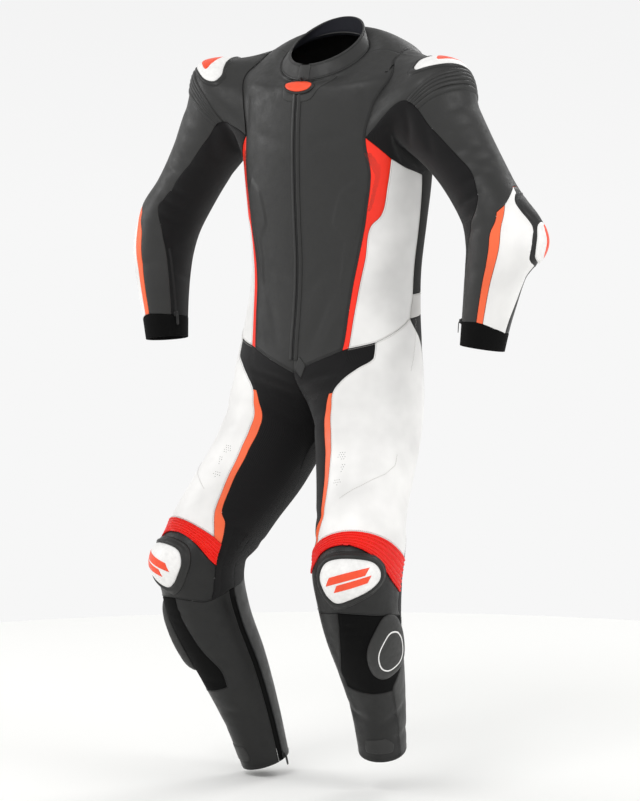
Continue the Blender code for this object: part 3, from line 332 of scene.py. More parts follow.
def smooth_through(knots, values, at, flat_ends=False):
    """A smooth curve through values[knot, point], read at one position for each point."""
    knots = np.asarray(knots, float)
    step = np.diff(knots)[:, None, None]
    slope = np.diff(values, axis=0) / step
    tangent = np.empty_like(values)
    tangent[1:-1] = (slope[:-1] * step[1:] + slope[1:] * step[:-1]) / (step[1:] + step[:-1])
    if flat_ends:
        tangent[1:-1] = np.where(slope[:-1] * slope[1:] > 0, tangent[1:-1], 0)
        most = 3 * np.minimum(abs(slope[:-1]), abs(slope[1:]))
        tangent[1:-1] = np.clip(tangent[1:-1], -most, most)
    tangent[0], tangent[-1] = slope[0], slope[-1]
    k = np.clip(np.searchsorted(knots, at, side="right") - 1, 0, len(knots) - 2)
    h = np.diff(knots)[k][:, None]
    t = (at - knots[k])[:, None] / h
    i = np.arange(len(at))
    return ((2 * t**3 - 3 * t**2 + 1) * values[k, i] + (t**3 - 2 * t**2 + t) * h * tangent[k, i]
            + (3 * t**2 - 2 * t**3) * values[k + 1, i] + (t**3 - t**2) * h * tangent[k + 1, i])


def ring_points(ring, u):
    _, cx, cy, cz, a, bf, bb, q, opening, pitch, roll = ring
    angle = math.radians(opening) * (1 - 2 * u)
    swell = 1 + q * np.sin(2 * angle) ** 2
    x = a * swell * np.cos(angle)
    y = -np.where(angle > 0, bf, bb) * swell * np.sin(angle)
    pitch, roll = math.radians(pitch), math.radians(roll)
    return np.stack([cx + x * math.cos(roll), cy + y * math.cos(pitch),
                     cz - y * math.sin(pitch) + x * math.sin(roll)], axis=-1)


def tube_points(u, s):
    rings = np.stack([ring_points(ring, u) for ring in BODY_RINGS])
    return smooth_through([ring[0] for ring in BODY_RINGS], rings, s)


def bulge(kind, u, s):
    total = np.zeros(len(u))
    for name, u0, s0, du, ds, height in PADDING:
        if name == kind:
            total += height * eased(1 - np.sqrt(((u - u0) / du) ** 2 + ((s - s0) / ds) ** 2))
    return total


def leaned(points, side, s, fade_from, fade_over):
    points = points * np.array([side, 1.0, 1.0])
    points[:, 2] -= LEAN * points[:, 0] * (1 - eased((s - fade_from) / fade_over))
    return points


def body_bare(u, s, side):
    """The body's skin at (u, s), without padding; s below 0 is up the collar, to -1."""
    at = np.maximum(s, 0.0)
    points = tube_points(u, at)
    high = np.clip(-s, 0.0, 1.0)[:, None]
    points = points + (ring_points(COLLAR_TOP_RING, u) - ring_points(BODY_RINGS[0], u)) * high
    middle = tube_points(np.zeros(len(u)), np.minimum(at, 0.72))[:, 0]
    near = np.minimum(u, 1 - u)
    points[:, 0] -= middle * np.clip(1 - near / 0.07, 0, 1) ** 2 * np.clip(1 - (at - 0.72) / 0.04, 0, 1)
    points = leaned(points, side, at, 0.2, 0.22)
    lift = ANKLE_UP if side == 1 else -ANKLE_DOWN
    points[:, 2] += lift * eased((at - ANKLE_FROM) / (HEM_S - ANKLE_FROM))
    points[:, 0] -= HIP_SWAY * eased(1 - abs(at - 0.60) / 0.22)
    return points


def sleeve_bare(phi, w, side):
    rows = np.array(SLEEVE_RINGS)
    centres = np.vstack([[SLEEVE_START], rows[:, 1:4]])
    knots = np.concatenate([[0.0], rows[:, 0]])
    ahead = np.gradient(centres, knots, axis=0)[1:]
    ahead /= np.linalg.norm(ahead, axis=1, keepdims=True)
    front = np.array([0.0, -1.0, 0.0]) + ahead * ahead[:, 1:2]
    front /= np.linalg.norm(front, axis=1, keepdims=True)
    outer = np.cross(front, ahead)
    hole = np.array(ARMHOLE)
    phi = phi - side * TWIST * eased(w / 0.06) * (1 - eased((w - 0.24) / 0.10))
    turn = phi % 1.0
    rings = [tube_points(np.interp(turn, hole[:, 0], hole[:, 1]), np.interp(turn, hole[:, 0], hole[:, 2]))]
    angle = 2 * math.pi * phi[:, None]
    for row, centre, f, o in zip(rows, centres[1:], front, outer):
        rings.append(centre + row[4] * np.cos(angle) * o + row[5] * np.sin(angle) * f)
    return leaned(smooth_through(knots, np.stack(rings), w), side, w, 0.0, 0.33)


def skin(kind, u, s, side):
    """Points and outward normals of the padded skin at (u, s) of one tube."""
    bare = body_bare if kind == "body" else sleeve_bare
    u, s = np.asarray(u, float), np.asarray(s, float)
    along_u = bare(u + 0.002, s, side) - bare(u - 0.002, s, side)
    along_s = bare(u, s + 0.001, side) - bare(u, s - 0.001, side)
    normals = np.cross(along_s, along_u) * (side if kind == "body" else -side)
    normals /= np.maximum(np.linalg.norm(normals, axis=1, keepdims=True), 1e-9)
    wrapped = u if kind == "body" else (u + 0.5) % 1.0 - 0.5
    return bare(u, s, side) + normals * bulge(kind, wrapped, s)[:, None], normals
ROW_AT = {"COLLAR_TOP": 0}
for count, row in enumerate(ROWS):
    ROW_AT[row[0]] = 2 + sum(before[1] for before in ROWS[:count])
SLEEVE_ROW_AT = {"ARMHOLE": 0}
for count, row in enumerate(SLEEVE_ROWS):
    SLEEVE_ROW_AT[row[0]] = 1 + sum(before[1] for before in SLEEVE_ROWS[:count])


def seam_curves(rows, row_at, cells_of, columns):
    """For each column, the rows where it exists and its (u, s) there."""
    curves = []
    for n in range(len(columns)):
        known = [(row_at[row[0]], cells_of(row)[n]) for row in rows if cells_of(row)[n] is not None]
        curves.append((np.array([k for k, _ in known], float), np.array([v for _, v in known], float)))
    return curves


BODY_SEAMS = seam_curves(ROWS, ROW_AT, lambda row: [(0.0, row[3]), *row[4:11], (1.0, row[11])], COLUMNS)
SLEEVE_SEAMS = seam_curves(SLEEVE_ROWS, SLEEVE_ROW_AT,
                           lambda row: [*row[2:7], (row[2][0] + 1, row[2][1])], SLEEVE_COLUMNS)


def along_seam(curve, y):
    knots, values = curve
    return smooth_through(knots, np.broadcast_to(values[:, None, :], (len(knots), len(y), 2)), y, True)


def across(seams, columns, x, y):
    """(u, s) at lattice place (x, y), straight across from one column's seam to the next."""
    columns = np.array(columns, float)
    lines = np.zeros((len(columns), len(x), 2))
    low = np.clip(np.searchsorted(columns, x, side="right") - 1, 0, len(columns) - 2)
    for n in np.unique(np.concatenate([low, low + 1])):
        lines[n] = along_seam(seams[n], y)
    i = np.arange(len(x))
    t = ((x - columns[low]) / (columns[low + 1] - columns[low]))[:, None]
    return lines[low, i] + (lines[low + 1, i] - lines[low, i]) * t


RISE_AT = [ROW_AT[row[0]] for row in ROWS]
RISES = [row[2] for row in ROWS]


def body_spot(x, y):
    """(u, s) of a lattice place on the body; rows above NECK go up the collar."""
    spot = across(BODY_SEAMS, list(COLUMNS.values()), x, np.maximum(y, 2.0))
    tip = along_seam(BODY_SEAMS[4], np.maximum(y, 2.0))[:, 0]
    side = along_seam(BODY_SEAMS[6], np.maximum(y, 2.0))[:, 0]
    t = np.clip((spot[:, 0] - tip) / np.maximum(side - tip, 1e-6), 0, 1)
    spot[:, 1] += np.where((x > 7) & (x < 12), np.interp(y, RISE_AT, RISES) * 4 * t * (1 - t), 0.0)
    spot[:, 1] = np.where(y < 2, (y - 2) / 2, spot[:, 1])
    return spot


def sleeve_spot(x, y):
    spot = across(SLEEVE_SEAMS, SLEEVE_COLUMNS, x, np.maximum(y, 1.0))
    start = np.interp(x, np.arange(20), ARMHOLE_TURNS)
    near = np.clip(1 - y, 0, 1)
    spot[:, 0] = spot[:, 0] * (1 - near) + start * near
    spot[:, 1] *= 1 - near
    return spot


def lattice(kind, side, x, y):
    """Points and normals of the skin at lattice places."""
    x, y = np.asarray(x, float), np.asarray(y, float)
    if kind == "body":
        return skin(kind, *body_spot(x, y).T, side)
    x = np.where(x > 19, x - 19, x)
    spot = sleeve_spot(x, y)
    points, normals = skin(kind, *spot.T, side)
    hole_x = np.clip(x, 5, 14)
    hole_y = np.where(x < 5, ROW_AT["TOP"] + x, np.where(x > 14, ROW_AT["ARM"] - (x - 14), ROW_AT["ARM"]))
    edge, _ = skin("body", *body_spot(hole_x, hole_y).T, side)
    start, _ = skin(kind, np.interp(x, np.arange(20), ARMHOLE_TURNS), np.zeros(len(x)), side)
    return points + (edge - start) * eased(1 - spot[:, 1] / 0.05)[:, None], normals


# Fine steps in each lattice cell. Down the tubes a step is about this long, in metres
BODY_STEP, SLEEVE_STEP = 0.0042, 0.006
BODY_STEPS_X = {0: 2, 1: 14, 2: 14, 3: 14, 4: 14, 5: 5, 6: 9, 7: 6, 8: 5, 9: 5, 10: 5, 11: 5, 12: 9, 13: 9,
                14: 8, 15: 8, 16: 8, 17: 8}
BODY_STEPS_Y = {0: 4, 1: 4}
for here, after in zip(ROWS, ROWS[1:]):
    long = (after[11] - here[11] if here[0] != "NECK" else 0.1) / here[1]
    for m in range(here[1]):
        BODY_STEPS_Y[ROW_AT[here[0]] + m] = max(2, round(long / BODY_STEP))
SLEEVE_STEPS_X = {x: 5 for x in range(25)}
SLEEVE_STEPS_Y = {0: 3}
for here, after in zip(SLEEVE_ROWS, SLEEVE_ROWS[1:]):
    long = (after[3][1] - here[3][1]) / here[1]
    for m in range(here[1]):
        SLEEVE_STEPS_Y[SLEEVE_ROW_AT[here[0]] + m] = max(3, round(long / SLEEVE_STEP))

# Creases: tube, side (0 both), from (u, s) and to (u, s), half width and depth in mm; a
# trough has a negative depth
CREASES = (
    ("body", 1, (0.060, 0.572), (0.150, 0.455), 9, -2.6),
    ("body", 1, (0.105, 0.575), (0.185, 0.490), 8, 2.0),
    ("body", -1, (0.070, 0.565), (0.170, 0.440), 10, -2.4),
    ("body", -1, (0.120, 0.570), (0.190, 0.500), 8, 1.8),
    ("body", 1, (0.030, 0.470), (0.120, 0.425), 9, -1.6),
    ("body", -1, (0.030, 0.452), (0.135, 0.415), 9, -1.4),
    ("body", 0, (0.040, 0.215), (0.190, 0.190), 13, -1.8),
    ("body", 0, (0.060, 0.120), (0.170, 0.075), 12, -1.6),
    ("body", 1, (0.235, 0.190), (0.205, 0.120), 8, -2.4),
    ("body", -1, (0.225, 0.200), (0.215, 0.130), 8, -2.2),
    ("body", 1, (0.290, 0.500), (0.400, 0.450), 11, -2.4),
    ("body", 1, (0.300, 0.440), (0.430, 0.405), 12, -2.0),
    ("body", -1, (0.300, 0.490), (0.410, 0.455), 11, -2.2),
    ("body", -1, (0.320, 0.430), (0.420, 0.402), 12, -1.8),
    ("body", 1, (0.420, 0.480), (0.500, 0.520), 9, -2.0),
    ("body", -1, (0.430, 0.470), (0.510, 0.500), 9, -2.0),
    ("body", 0, (0.015, 0.640), (0.190, 0.612), 7, -3.0),
    ("body", 1, (0.020, 0.675), (0.170, 0.650), 8, -2.6),
    ("body", -1, (0.020, 0.668), (0.180, 0.640), 8, -2.8),
    ("body", 0, (0.060, 0.720), (0.190, 0.690), 9, -2.2),
    ("body", 1, (0.290, 0.640), (0.420, 0.600), 12, -2.2),
    ("body", -1, (0.300, 0.655), (0.440, 0.610), 12, -2.2),
    ("body", 1, (0.330, 0.700), (0.500, 0.660), 13, -1.8),
    ("body", -1, (0.320, 0.720), (0.480, 0.680), 13, -2.0),
    ("body", 1, (0.440, 0.760), (0.560, 0.700), 12, -1.8),
    ("body", -1, (0.430, 0.775), (0.560, 0.730), 12, -1.8),
    ("body", 0, (0.060, 0.880), (0.200, 0.905), 9, -2.6),
    ("body", 1, (0.040, 0.920), (0.180, 0.945), 8, -2.4),
    ("body", -1, (0.050, 0.915), (0.190, 0.935), 8, -2.2),
    ("body", 0, (0.080, 0.975), (0.180, 0.965), 8, -2.4),
    ("body", 1, (0.235, 1.062), (0.345, 1.056), 4, -2.6),
    ("body", 1, (0.270, 1.078), (0.360, 1.070), 5, -2.0),
    ("body", -1, (0.230, 1.058), (0.350, 1.060), 4, -2.6),
    ("body", -1, (0.250, 1.082), (0.340, 1.074), 5, -1.8),
    ("body", 0, (0.640, 0.905), (0.920, 0.925), 8, -4.0),
    ("body", 0, (0.610, 0.940), (0.880, 0.955), 9, -4.6),
    ("body", 1, (0.660, 0.975), (0.940, 0.985), 8, -4.2),
    ("body", -1, (0.640, 0.970), (0.930, 0.990), 8, -4.2),
    ("body", 0, (0.600, 1.010), (0.850, 1.002), 9, -3.4),
    ("body", 0, (0.680, 0.870), (0.860, 0.880), 10, -2.6),
    ("body", 1, (0.150, 1.190), (0.330, 1.210), 11, -1.8),
    ("body", -1, (0.160, 1.210), (0.340, 1.190), 11, -1.8),
    ("body", 1, (0.080, 1.262), (0.300, 1.280), 9, -2.4),
    ("body", -1, (0.100, 1.270), (0.320, 1.255), 9, -2.4),
    ("body", 0, (0.360, 1.290), (0.600, 1.268), 9, -2.6),
    ("body", 0, (0.620, 1.300), (0.860, 1.280), 9, -2.4),
    ("body", 1, (0.420, 1.325), (0.680, 1.330), 8, -2.0),
    ("body", -1, (0.400, 1.335), (0.640, 1.318), 8, -2.0),
    ("body", 0, (0.700, 0.620), (0.960, 0.640), 10, -3.0),
    ("body", 0, (0.740, 0.670), (0.940, 0.650), 11, -3.2),
    ("body", 0, (0.720, 0.410), (0.980, 0.430), 12, -2.6),
    ("body", 0, (0.760, 0.460), (0.960, 0.475), 12, -2.4),
    ("body", 1, (0.700, 0.520), (0.900, 0.500), 12, -2.0),
    ("body", -1, (0.710, 0.505), (0.920, 0.525), 12, -2.0),
    ("body", 0, (0.760, 0.180), (0.900, 0.240), 13, -2.2),
    ("body", 0, (0.640, 0.560), (0.720, 0.610), 9, -2.2),
    ("body", 1, (0.690, 0.760), (0.840, 0.740), 12, -2.2),
    ("body", -1, (0.700, 0.740), (0.860, 0.760), 12, -2.2),
    ("sleeve", 1, (0.120, 0.205), (0.260, 0.190), 8, -2.8),
    ("sleeve", 1, (0.060, 0.235), (0.230, 0.222), 8, -2.6),
    ("sleeve", 1, (0.110, 0.262), (0.300, 0.250), 7, -3.0),
    ("sleeve", 1, (0.190, 0.292), (0.360, 0.282), 7, -3.4),
    ("sleeve", 1, (0.240, 0.320), (0.420, 0.318), 7, -3.2),
    ("sleeve", 1, (0.230, 0.350), (0.380, 0.352), 8, -2.2),
    ("sleeve", -1, (0.130, 0.200), (0.280, 0.195), 8, -2.6),
    ("sleeve", -1, (0.080, 0.228), (0.240, 0.226), 8, -2.8),
    ("sleeve", -1, (0.150, 0.258), (0.320, 0.256), 7, -3.0),
    ("sleeve", -1, (0.180, 0.288), (0.370, 0.288), 7, -3.4),
    ("sleeve", -1, (0.230, 0.318), (0.410, 0.322), 7, -3.2),
    ("sleeve", -1, (0.220, 0.345), (0.370, 0.350), 8, -2.2),
    ("sleeve", 0, (0.050, 0.114), (0.200, 0.112), 6, -2.4),
    ("sleeve", 0, (0.090, 0.150), (0.240, 0.140), 9, -1.8),
    ("sleeve", 0, (0.300, 0.060), (0.420, 0.110), 8, -2.8),
    ("sleeve", 0, (0.270, 0.090), (0.350, 0.160), 9, -2.2),
    ("sleeve", 0, (0.430, 0.060), (0.560, 0.090), 8, -2.4),
    ("sleeve", 0, (0.520, 0.180), (0.640, 0.200), 9, -2.2),
    ("sleeve", 1, (0.180, 0.420), (0.320, 0.430), 9, -1.8),
    ("sleeve", -1, (0.190, 0.430), (0.340, 0.420), 9, -1.8),
    ("sleeve", 0, (0.420, 0.440), (0.580, 0.452), 8, -2.2),
    ("sleeve", 0, (0.400, 0.390), (0.540, 0.380), 9, -2.2),
)


CREASE_LINES = []
for tube, where, start, end, half, depth in CREASES:
    for side in (where,) if where else (1, -1):
        t = np.linspace(0, 1, 9)
        u, s = start[0] + (end[0] - start[0]) * t, start[1] + (end[1] - start[1]) * t
        s = s + (end[1] - start[1] + 0.012) * 0.18 * np.sin(t * math.pi)
        line = skin(tube, u, s, side)[0]
        CREASE_LINES.append((tube, side, line, line.min(axis=0) - 0.03, line.max(axis=0) + 0.03, half, depth))


def creased(kind, side, points, normals):
    """Move points out or in by the creases near them."""
    moved = np.zeros(len(points))
    for tube, where, line, low, high, half, depth in CREASE_LINES:
        if tube != kind or where != side:
            continue
        close = np.nonzero(((points > low) & (points < high)).all(axis=1))[0]
        if not len(close):
            continue
        a, b = line[:-1], line[1:]
        off = points[close, None, :] - a[None]
        span = (b - a)[None]
        share = np.clip((off * span).sum(-1) / (span * span).sum(-1), 0, 1)
        away = np.linalg.norm(off - span * share[..., None], axis=-1)
        nearest = away.argmin(axis=1)
        i = np.arange(len(close))
        gone = (nearest + share[i, nearest]) / len(a)
        sunk = np.sin(np.clip(gone, 0.02, 0.98) * math.pi) ** 0.7
        fall = np.exp(-(away[i, nearest] / (half / 1000)) ** 2) * sunk
        moved[close] += fall * depth / 1000
    return points + normals * moved[:, None]


def fine_grid(kind, side, x0, x1, y0, y1):
    """Lattice places of a block in fine steps, with its faces."""
    steps_x, steps_y = (BODY_STEPS_X, BODY_STEPS_Y) if kind == "body" else (SLEEVE_STEPS_X, SLEEVE_STEPS_Y)
    xs = [x + m / steps_x[x] for x in range(x0, x1) for m in range(steps_x[x])] + [x1]
    ys = [y + m / steps_y[y] for y in range(y0, y1) for m in range(steps_y[y])] + [y1]
    gx, gy = np.meshgrid(xs, ys)
    wide, high = len(xs), len(ys)
    n = np.arange(wide * high).reshape(high, wide)
    quads = np.stack([n[:-1, :-1], n[1:, :-1], n[1:, 1:], n[:-1, 1:]], axis=-1).reshape(-1, 4)
    return gx.ravel(), gy.ravel(), quads[:, ::side if kind == "body" else side], (high, wide)


def inset_rim(mesh, distance):
    """Move a patch's edge inwards, so that two panels' folds meet in a groove."""
    mesh.verts.ensure_lookup_table()
    shift = {}
    for edge in mesh.edges:
        if not edge.is_boundary:
            continue
        face = edge.link_faces[0]
        inward = face.normal.cross(edge.verts[1].co - edge.verts[0].co).normalized()
        if inward.dot(face.calc_center_median() - edge.verts[0].co) < 0:
            inward.negate()
        for vert in edge.verts:
            shift.setdefault(vert, []).append(inward)
    for vert, ways in shift.items():
        middle = sum(ways, Vector()).normalized()
        vert.co += middle * distance / max(middle.dot(ways[0]), 0.5)


def cloth_panel(name, blocks, wall, finish, nodes, fold=0.0009, shape=None):
    """A panel of cloth or leather with folded edges, from blocks of the lattice."""
    mesh = bmesh.new()
    uv_layer = mesh.loops.layers.uv.new("flat")
    widths, lengths = {}, {}
    for kind, side, x0, x1, y0, y1 in blocks:
        gx, gy, quads, (high, wide) = fine_grid(kind, side, x0, x1, y0, y1)
        points, normals = lattice(kind, side, gx, gy)
        if shape is not None:
            points = points + normals * shape(kind, side, gx, gy)[:, None]
        points = creased(kind, side, points, normals)
        laid = points.reshape(high, wide, 3)
        step_x = np.linalg.norm(np.diff(laid, axis=1), axis=2)
        step_y = np.linalg.norm(np.diff(laid, axis=0), axis=2)
        for r in range(high):
            widths[round(gy[r * wide], 3)] = widths.get(round(gy[r * wide], 3), 0) + step_x[r].sum()
        for c in range(wide):
            key = (side, kind, round(gx[c], 3))
            lengths[key] = lengths.get(key, 0) + step_y[:, c].sum()
        flat_x = np.concatenate([[0], np.cumsum(step_x.mean(axis=0))])
        flat_y = np.concatenate([[0], np.cumsum(step_y.mean(axis=1))])
        flat = np.stack(np.meshgrid(flat_x, flat_y), axis=-1).reshape(-1, 2)
        made = [mesh.verts.new(p) for p in points]
        for quad in quads:
            face = mesh.faces.new([made[n] for n in quad])
            face.smooth = True
            for loop, n in zip(face.loops, quad):
                loop[uv_layer].uv = flat[n]
    bmesh.ops.remove_doubles(mesh, verts=mesh.verts, dist=0.0006)
    mesh.normal_update()
    area = sum(face.calc_area() for face in mesh.faces)
    inset_rim(mesh, 0.0003)
    data = bpy.data.meshes.new(name)
    mesh.to_mesh(data)
    mesh.free()
    piece = bpy.data.objects.new(name, data)
    bpy.context.scene.collection.objects.link(piece)
    data.materials.append(finish)
    thick = piece.modifiers.new("wall", "SOLIDIFY")
    thick.thickness = wall
    thick.offset = -1
    if fold:
        bevel = piece.modifiers.new("fold", "BEVEL")
        bevel.width = min(fold, wall * 0.48)
        bevel.segments = 2
        bevel.limit_method = "ANGLE"
        bevel.angle_limit = math.radians(55)
        bevel.harden_normals = False
    wide, long = max(widths.values()), max(lengths.values())
    if area < 0.32 * wide * long:  # a long tapering strip: its mean width
        wide, area = area / long, None
    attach(piece, "root")
    if nodes:
        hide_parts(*nodes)
    return piece

# ---------------------------------------------------------------- black cowhide panels
# Front, back, shoulders, upper sleeves, collar and calves: 1.6 mm cowhide with a fine
# grain and a satin finish, each edge folded under and sewn to its neighbour.


def cowhide(name, colour, roughness, grain=1.0):
    made, tree, shader = finish_of(name, linear(colour), roughness, 1.46)
    place = node(tree, "ShaderNodeTexCoord").outputs["Object"]
    pores = node(tree, "ShaderNodeTexVoronoi", {"Vector": place, "Scale": 900.0}, feature="DISTANCE_TO_EDGE")
    hide = node(tree, "ShaderNodeTexNoise",
                {"Vector": place, "Scale": 55.0, "Detail": 6.0, "Roughness": 0.62})
    cloud = node(tree, "ShaderNodeTexNoise", {"Vector": place, "Scale": 9.0, "Detail": 3.0})
    shade = node(tree, "ShaderNodeMapRange", {"Value": cloud.outputs["Fac"], "From Min": 0.3, "From Max": 0.7,
                                              "To Min": 0.86, "To Max": 1.1})
    tone = node(tree, "ShaderNodeMix", {"Factor": 1.0, "A": linear(colour), "B": shade.outputs["Result"]},
                data_type="RGBA", blend_type="MULTIPLY")
    tree.links.new(tone.outputs["Result"], shader.inputs["Base Color"])
    dull = node(tree, "ShaderNodeMapRange", {"Value": hide.outputs["Fac"], "From Min": 0.35, "From Max": 0.65,
                                             "To Min": roughness - 0.07, "To Max": roughness + 0.09})
    tree.links.new(dull.outputs["Result"], shader.inputs["Roughness"])
    fine = node(tree, "ShaderNodeBump", {"Height": pores.outputs["Distance"], "Strength": 0.35 * grain,
                                         "Distance": 0.0004})
    soft = node(tree, "ShaderNodeBump", {"Height": hide.outputs["Fac"], "Strength": 0.35 * grain,
                                         "Distance": 0.0016, "Normal": fine.outputs["Normal"]})
    tree.links.new(soft.outputs["Normal"], shader.inputs["Normal"])
    return made


black_hide = cowhide("black_cowhide", "#252524", 0.46)
LEFT, RIGHT = 1, -1


def left_right(name):
    return ((f"{name}_left", LEFT), (f"{name}_right", RIGHT))


C, R, S = COLUMNS, ROW_AT, SLEEVE_ROW_AT


def body(side, x0, x1, y0, y1):
    return ("body", side, C[x0] if isinstance(x0, str) else x0, C[x1] if isinstance(x1, str) else x1,
            R[y0] if isinstance(y0, str) else y0, R[y1] if isinstance(y1, str) else y1)


def sleeve(side, x0, x1, y0, y1):
    return ("sleeve", side, x0, x1, S[y0], S[y1])


# The pad on each side of the chest, under the hide: its outline in (u, s)
CHEST_PAD = ((0.207, 0.270), (0.245, 0.290), (0.229, 0.346), (0.203, 0.388), (0.165, 0.446), (0.169, 0.409),
             (0.179, 0.372), (0.137, 0.346), (0.140, 0.328), (0.159, 0.290))
HALF_GIRTH = 0.5


def padded_under(kind, outline, height, slope):
    """How far the hide stands out over a pad under it: flat on top, sloping off at its edge."""
    corners = np.array(outline) * (HALF_GIRTH, 1.0)

    def rise(_, side, x, y):
        spots = (body_spot if kind == "body" else sleeve_spot)(x, y) * (HALF_GIRTH, 1.0)
        nearest = np.full(len(spots), 9.0)
        inside = np.zeros(len(spots), bool)
        for a, b in zip(corners, np.roll(corners, -1, axis=0)):
            share = np.clip(((spots - a) @ (b - a)) / ((b - a) @ (b - a)), 0, 1)
            nearest = np.minimum(nearest, np.linalg.norm(spots - a - share[:, None] * (b - a), axis=1))
            crosses = (a[1] > spots[:, 1]) != (b[1] > spots[:, 1])
            edge = (b[0] - a[0]) * (spots[:, 1] - a[1]) / (b[1] - a[1] + 1e-12) + a[0]
            inside ^= crosses & (spots[:, 0] < edge)
        return height * eased(np.clip(0.5 + np.where(inside, nearest, -nearest) / slope, 0, 1))
    return rise


for name, side in left_right("front"):
    cloth_panel(name + "_panel", [body(side, "ZIP", "IN", "NECK", "GROIN"),
                                  body(side, "CF", "ZIP", R["GROIN"] - 1, "GROIN")],
                0.0016, black_hide, [name],
                shape=padded_under("body", CHEST_PAD, 0.0022, 0.0065))
cloth_panel("back_panel", [body(side, "BACK", "CB", "NECK", "GROIN") for side in (LEFT, RIGHT)],
            0.0016, black_hide, ["back", "back_yoke"])
for name, side in left_right("calf"):
    cloth_panel(name + "_panel", [body(side, "SIDE", "CB", "KNEE_END", "HEM")],
                0.0016, black_hide, [name])
for name, side in left_right("shoulder"):
    cloth_panel(name + "_panel", [sleeve(side, 14, 24, "ARMHOLE", "RIB_TOP")],
                0.0016, black_hide, [name])
for name, side in left_right("upper_sleeve"):
    cloth_panel(name + "_panel", [sleeve(side, 14, 24, "RIB_END", "ELBOW"),
                                  sleeve(side, 3, 5, "ELBOW", "CUFF")],
                0.0016, black_hide, [name])
cloth_panel("collar_panel", [body(side, *columns, "COLLAR_TOP", "NECK") for side in (LEFT, RIGHT)
                             for columns in (("ZIP", "IN"), ("BACK", "CB"))],
            0.0022, black_hide, ["collar"])

# ---------------------------------------------------------------- darker cowhide panels
# Knees, shins and elbows: the same hide in a deeper black, over foam.

deep_hide = cowhide("deep_black_cowhide", "#0a0a09", 0.45)
for name, side in left_right("knee_panel"):
    cloth_panel(name + "_face", [body(side, "OUT", "SIDE", "RIB_END", "KNEE_END")],
                0.0016, deep_hide, [name])
for name, side in left_right("shin"):
    cloth_panel(name + "_panel", [body(side, "ZIP", "PATCH", "KNEE_END", "HEM"),
                                  body(side, "PATCH", "SIDE", "PATCH_D", "HEM")],
                0.0016, deep_hide, [name])
for name, side in left_right("elbow_panel"):
    cloth_panel(name + "_face", [sleeve(side, 14, 19, "ELBOW", "CUFF")],
                0.0016, deep_hide, [name])

# ---------------------------------------------------------------- ribbed stretch panels
# Knees and shoulders: hide quilted over foam in narrow ribs across the limb, so that the
# limb bends. Each rib is rounded, and sewn down in the groove beside it.


def quilted(top, end, ribs, height):
    """How far the ribs stand out at each lattice place."""
    def rise(_, side, x, y):
        t = np.clip((y - top) / (end - top), 0, 1)
        return height * np.abs(np.sin(t * math.pi * ribs)) ** 0.7
    return rise


rib_hide = cowhide("rib_cowhide", "#ee1002", 0.5, 0.7)
BODY_STEPS_Y[R["RIB_TOP"]] = 56
for name, side in left_right("knee_ribs"):
    cloth_panel(name + "_quilt", [body(side, "OUT", "SIDE", "RIB_TOP", "RIB_END")],
                0.0016, rib_hide, [name],
                shape=quilted(R["RIB_TOP"], R["RIB_END"], 7, 0.003))
SLEEVE_STEPS_Y[S["RIB_TOP"]] = 40
for name, side in left_right("shoulder_ribs"):
    cloth_panel(name + "_quilt", [sleeve(side, 14, 24, "RIB_TOP", "RIB_END")],
                0.0016, black_hide, [name],
                shape=quilted(S["RIB_TOP"], S["RIB_END"], 5, 0.0025))

# ---------------------------------------------------------------- coloured cowhide panels
# White sides, thighs and forearms, red torso strips, orange thigh and forearm strips, and yokes over
# the hips: the same hide, dyed and finished smoother; the yokes' grey is painted shade on white hide.

white_hide = cowhide("white_cowhide", "#efeeec", 0.42, 0.5)
# painted shade: white hide coloured grey for the shaded side of the hip, used on the yokes
shaded_white_hide = cowhide("white_cowhide_painted_shade", "#c6c4c1", 0.50, 0.6)
red_hide = cowhide("red_cowhide", "#ff2c10", 0.42, 0.6)
orange_hide = cowhide("orange_cowhide", "#fb6a3c", 0.42, 0.6)
for name, side in left_right("side_panel"):
    cloth_panel(name + "_face", [body(side, "OUT", "SIDE", "ARM", "GROIN")],
                0.0016, white_hide, [name])
for name, side in left_right("thigh"):
    cloth_panel(name + "_panel", [body(side, "TIP", "SIDE", "GROIN", "RIB_TOP")],
                0.0016, white_hide, [name])
for name, side in left_right("forearm_white"):
    cloth_panel(name + "_panel", [sleeve(side, 0, 2, "ELBOW", "CUFF")],
                0.0016, white_hide, [name])
# the yokes take the white hide painted grey as shade
for name, side in left_right("side_yoke"):
    cloth_panel(name + "_face", [body(side, "SIDE", "BACK", "MESH", "GROIN")],
                0.0016, shaded_white_hide, [name])
for name, side in left_right("torso_strip"):
    cloth_panel(name + "_face", [body(side, "IN", "OUT", "ARM", "GROIN")],
                0.0016, red_hide, [name])
for name, side in left_right("thigh_strip"):
    cloth_panel(name + "_face", [body(side, "OUT", "TIP", "STRIP", "RIB_TOP")],
                0.0016, orange_hide, [name])
for name, side in left_right("forearm_strip"):
    cloth_panel(name + "_face", [sleeve(side, 2, 3, "ELBOW", "CUFF")],
                0.0016, orange_hide, [name])

# ---------------------------------------------------------------- stretch and mesh cloth
# Crotch, seat, inner legs and inner sleeves: a ribbed aramid stretch cloth. The inserts
# behind the white sides are a black air mesh; zip bands, cuffs and slider patches are web.

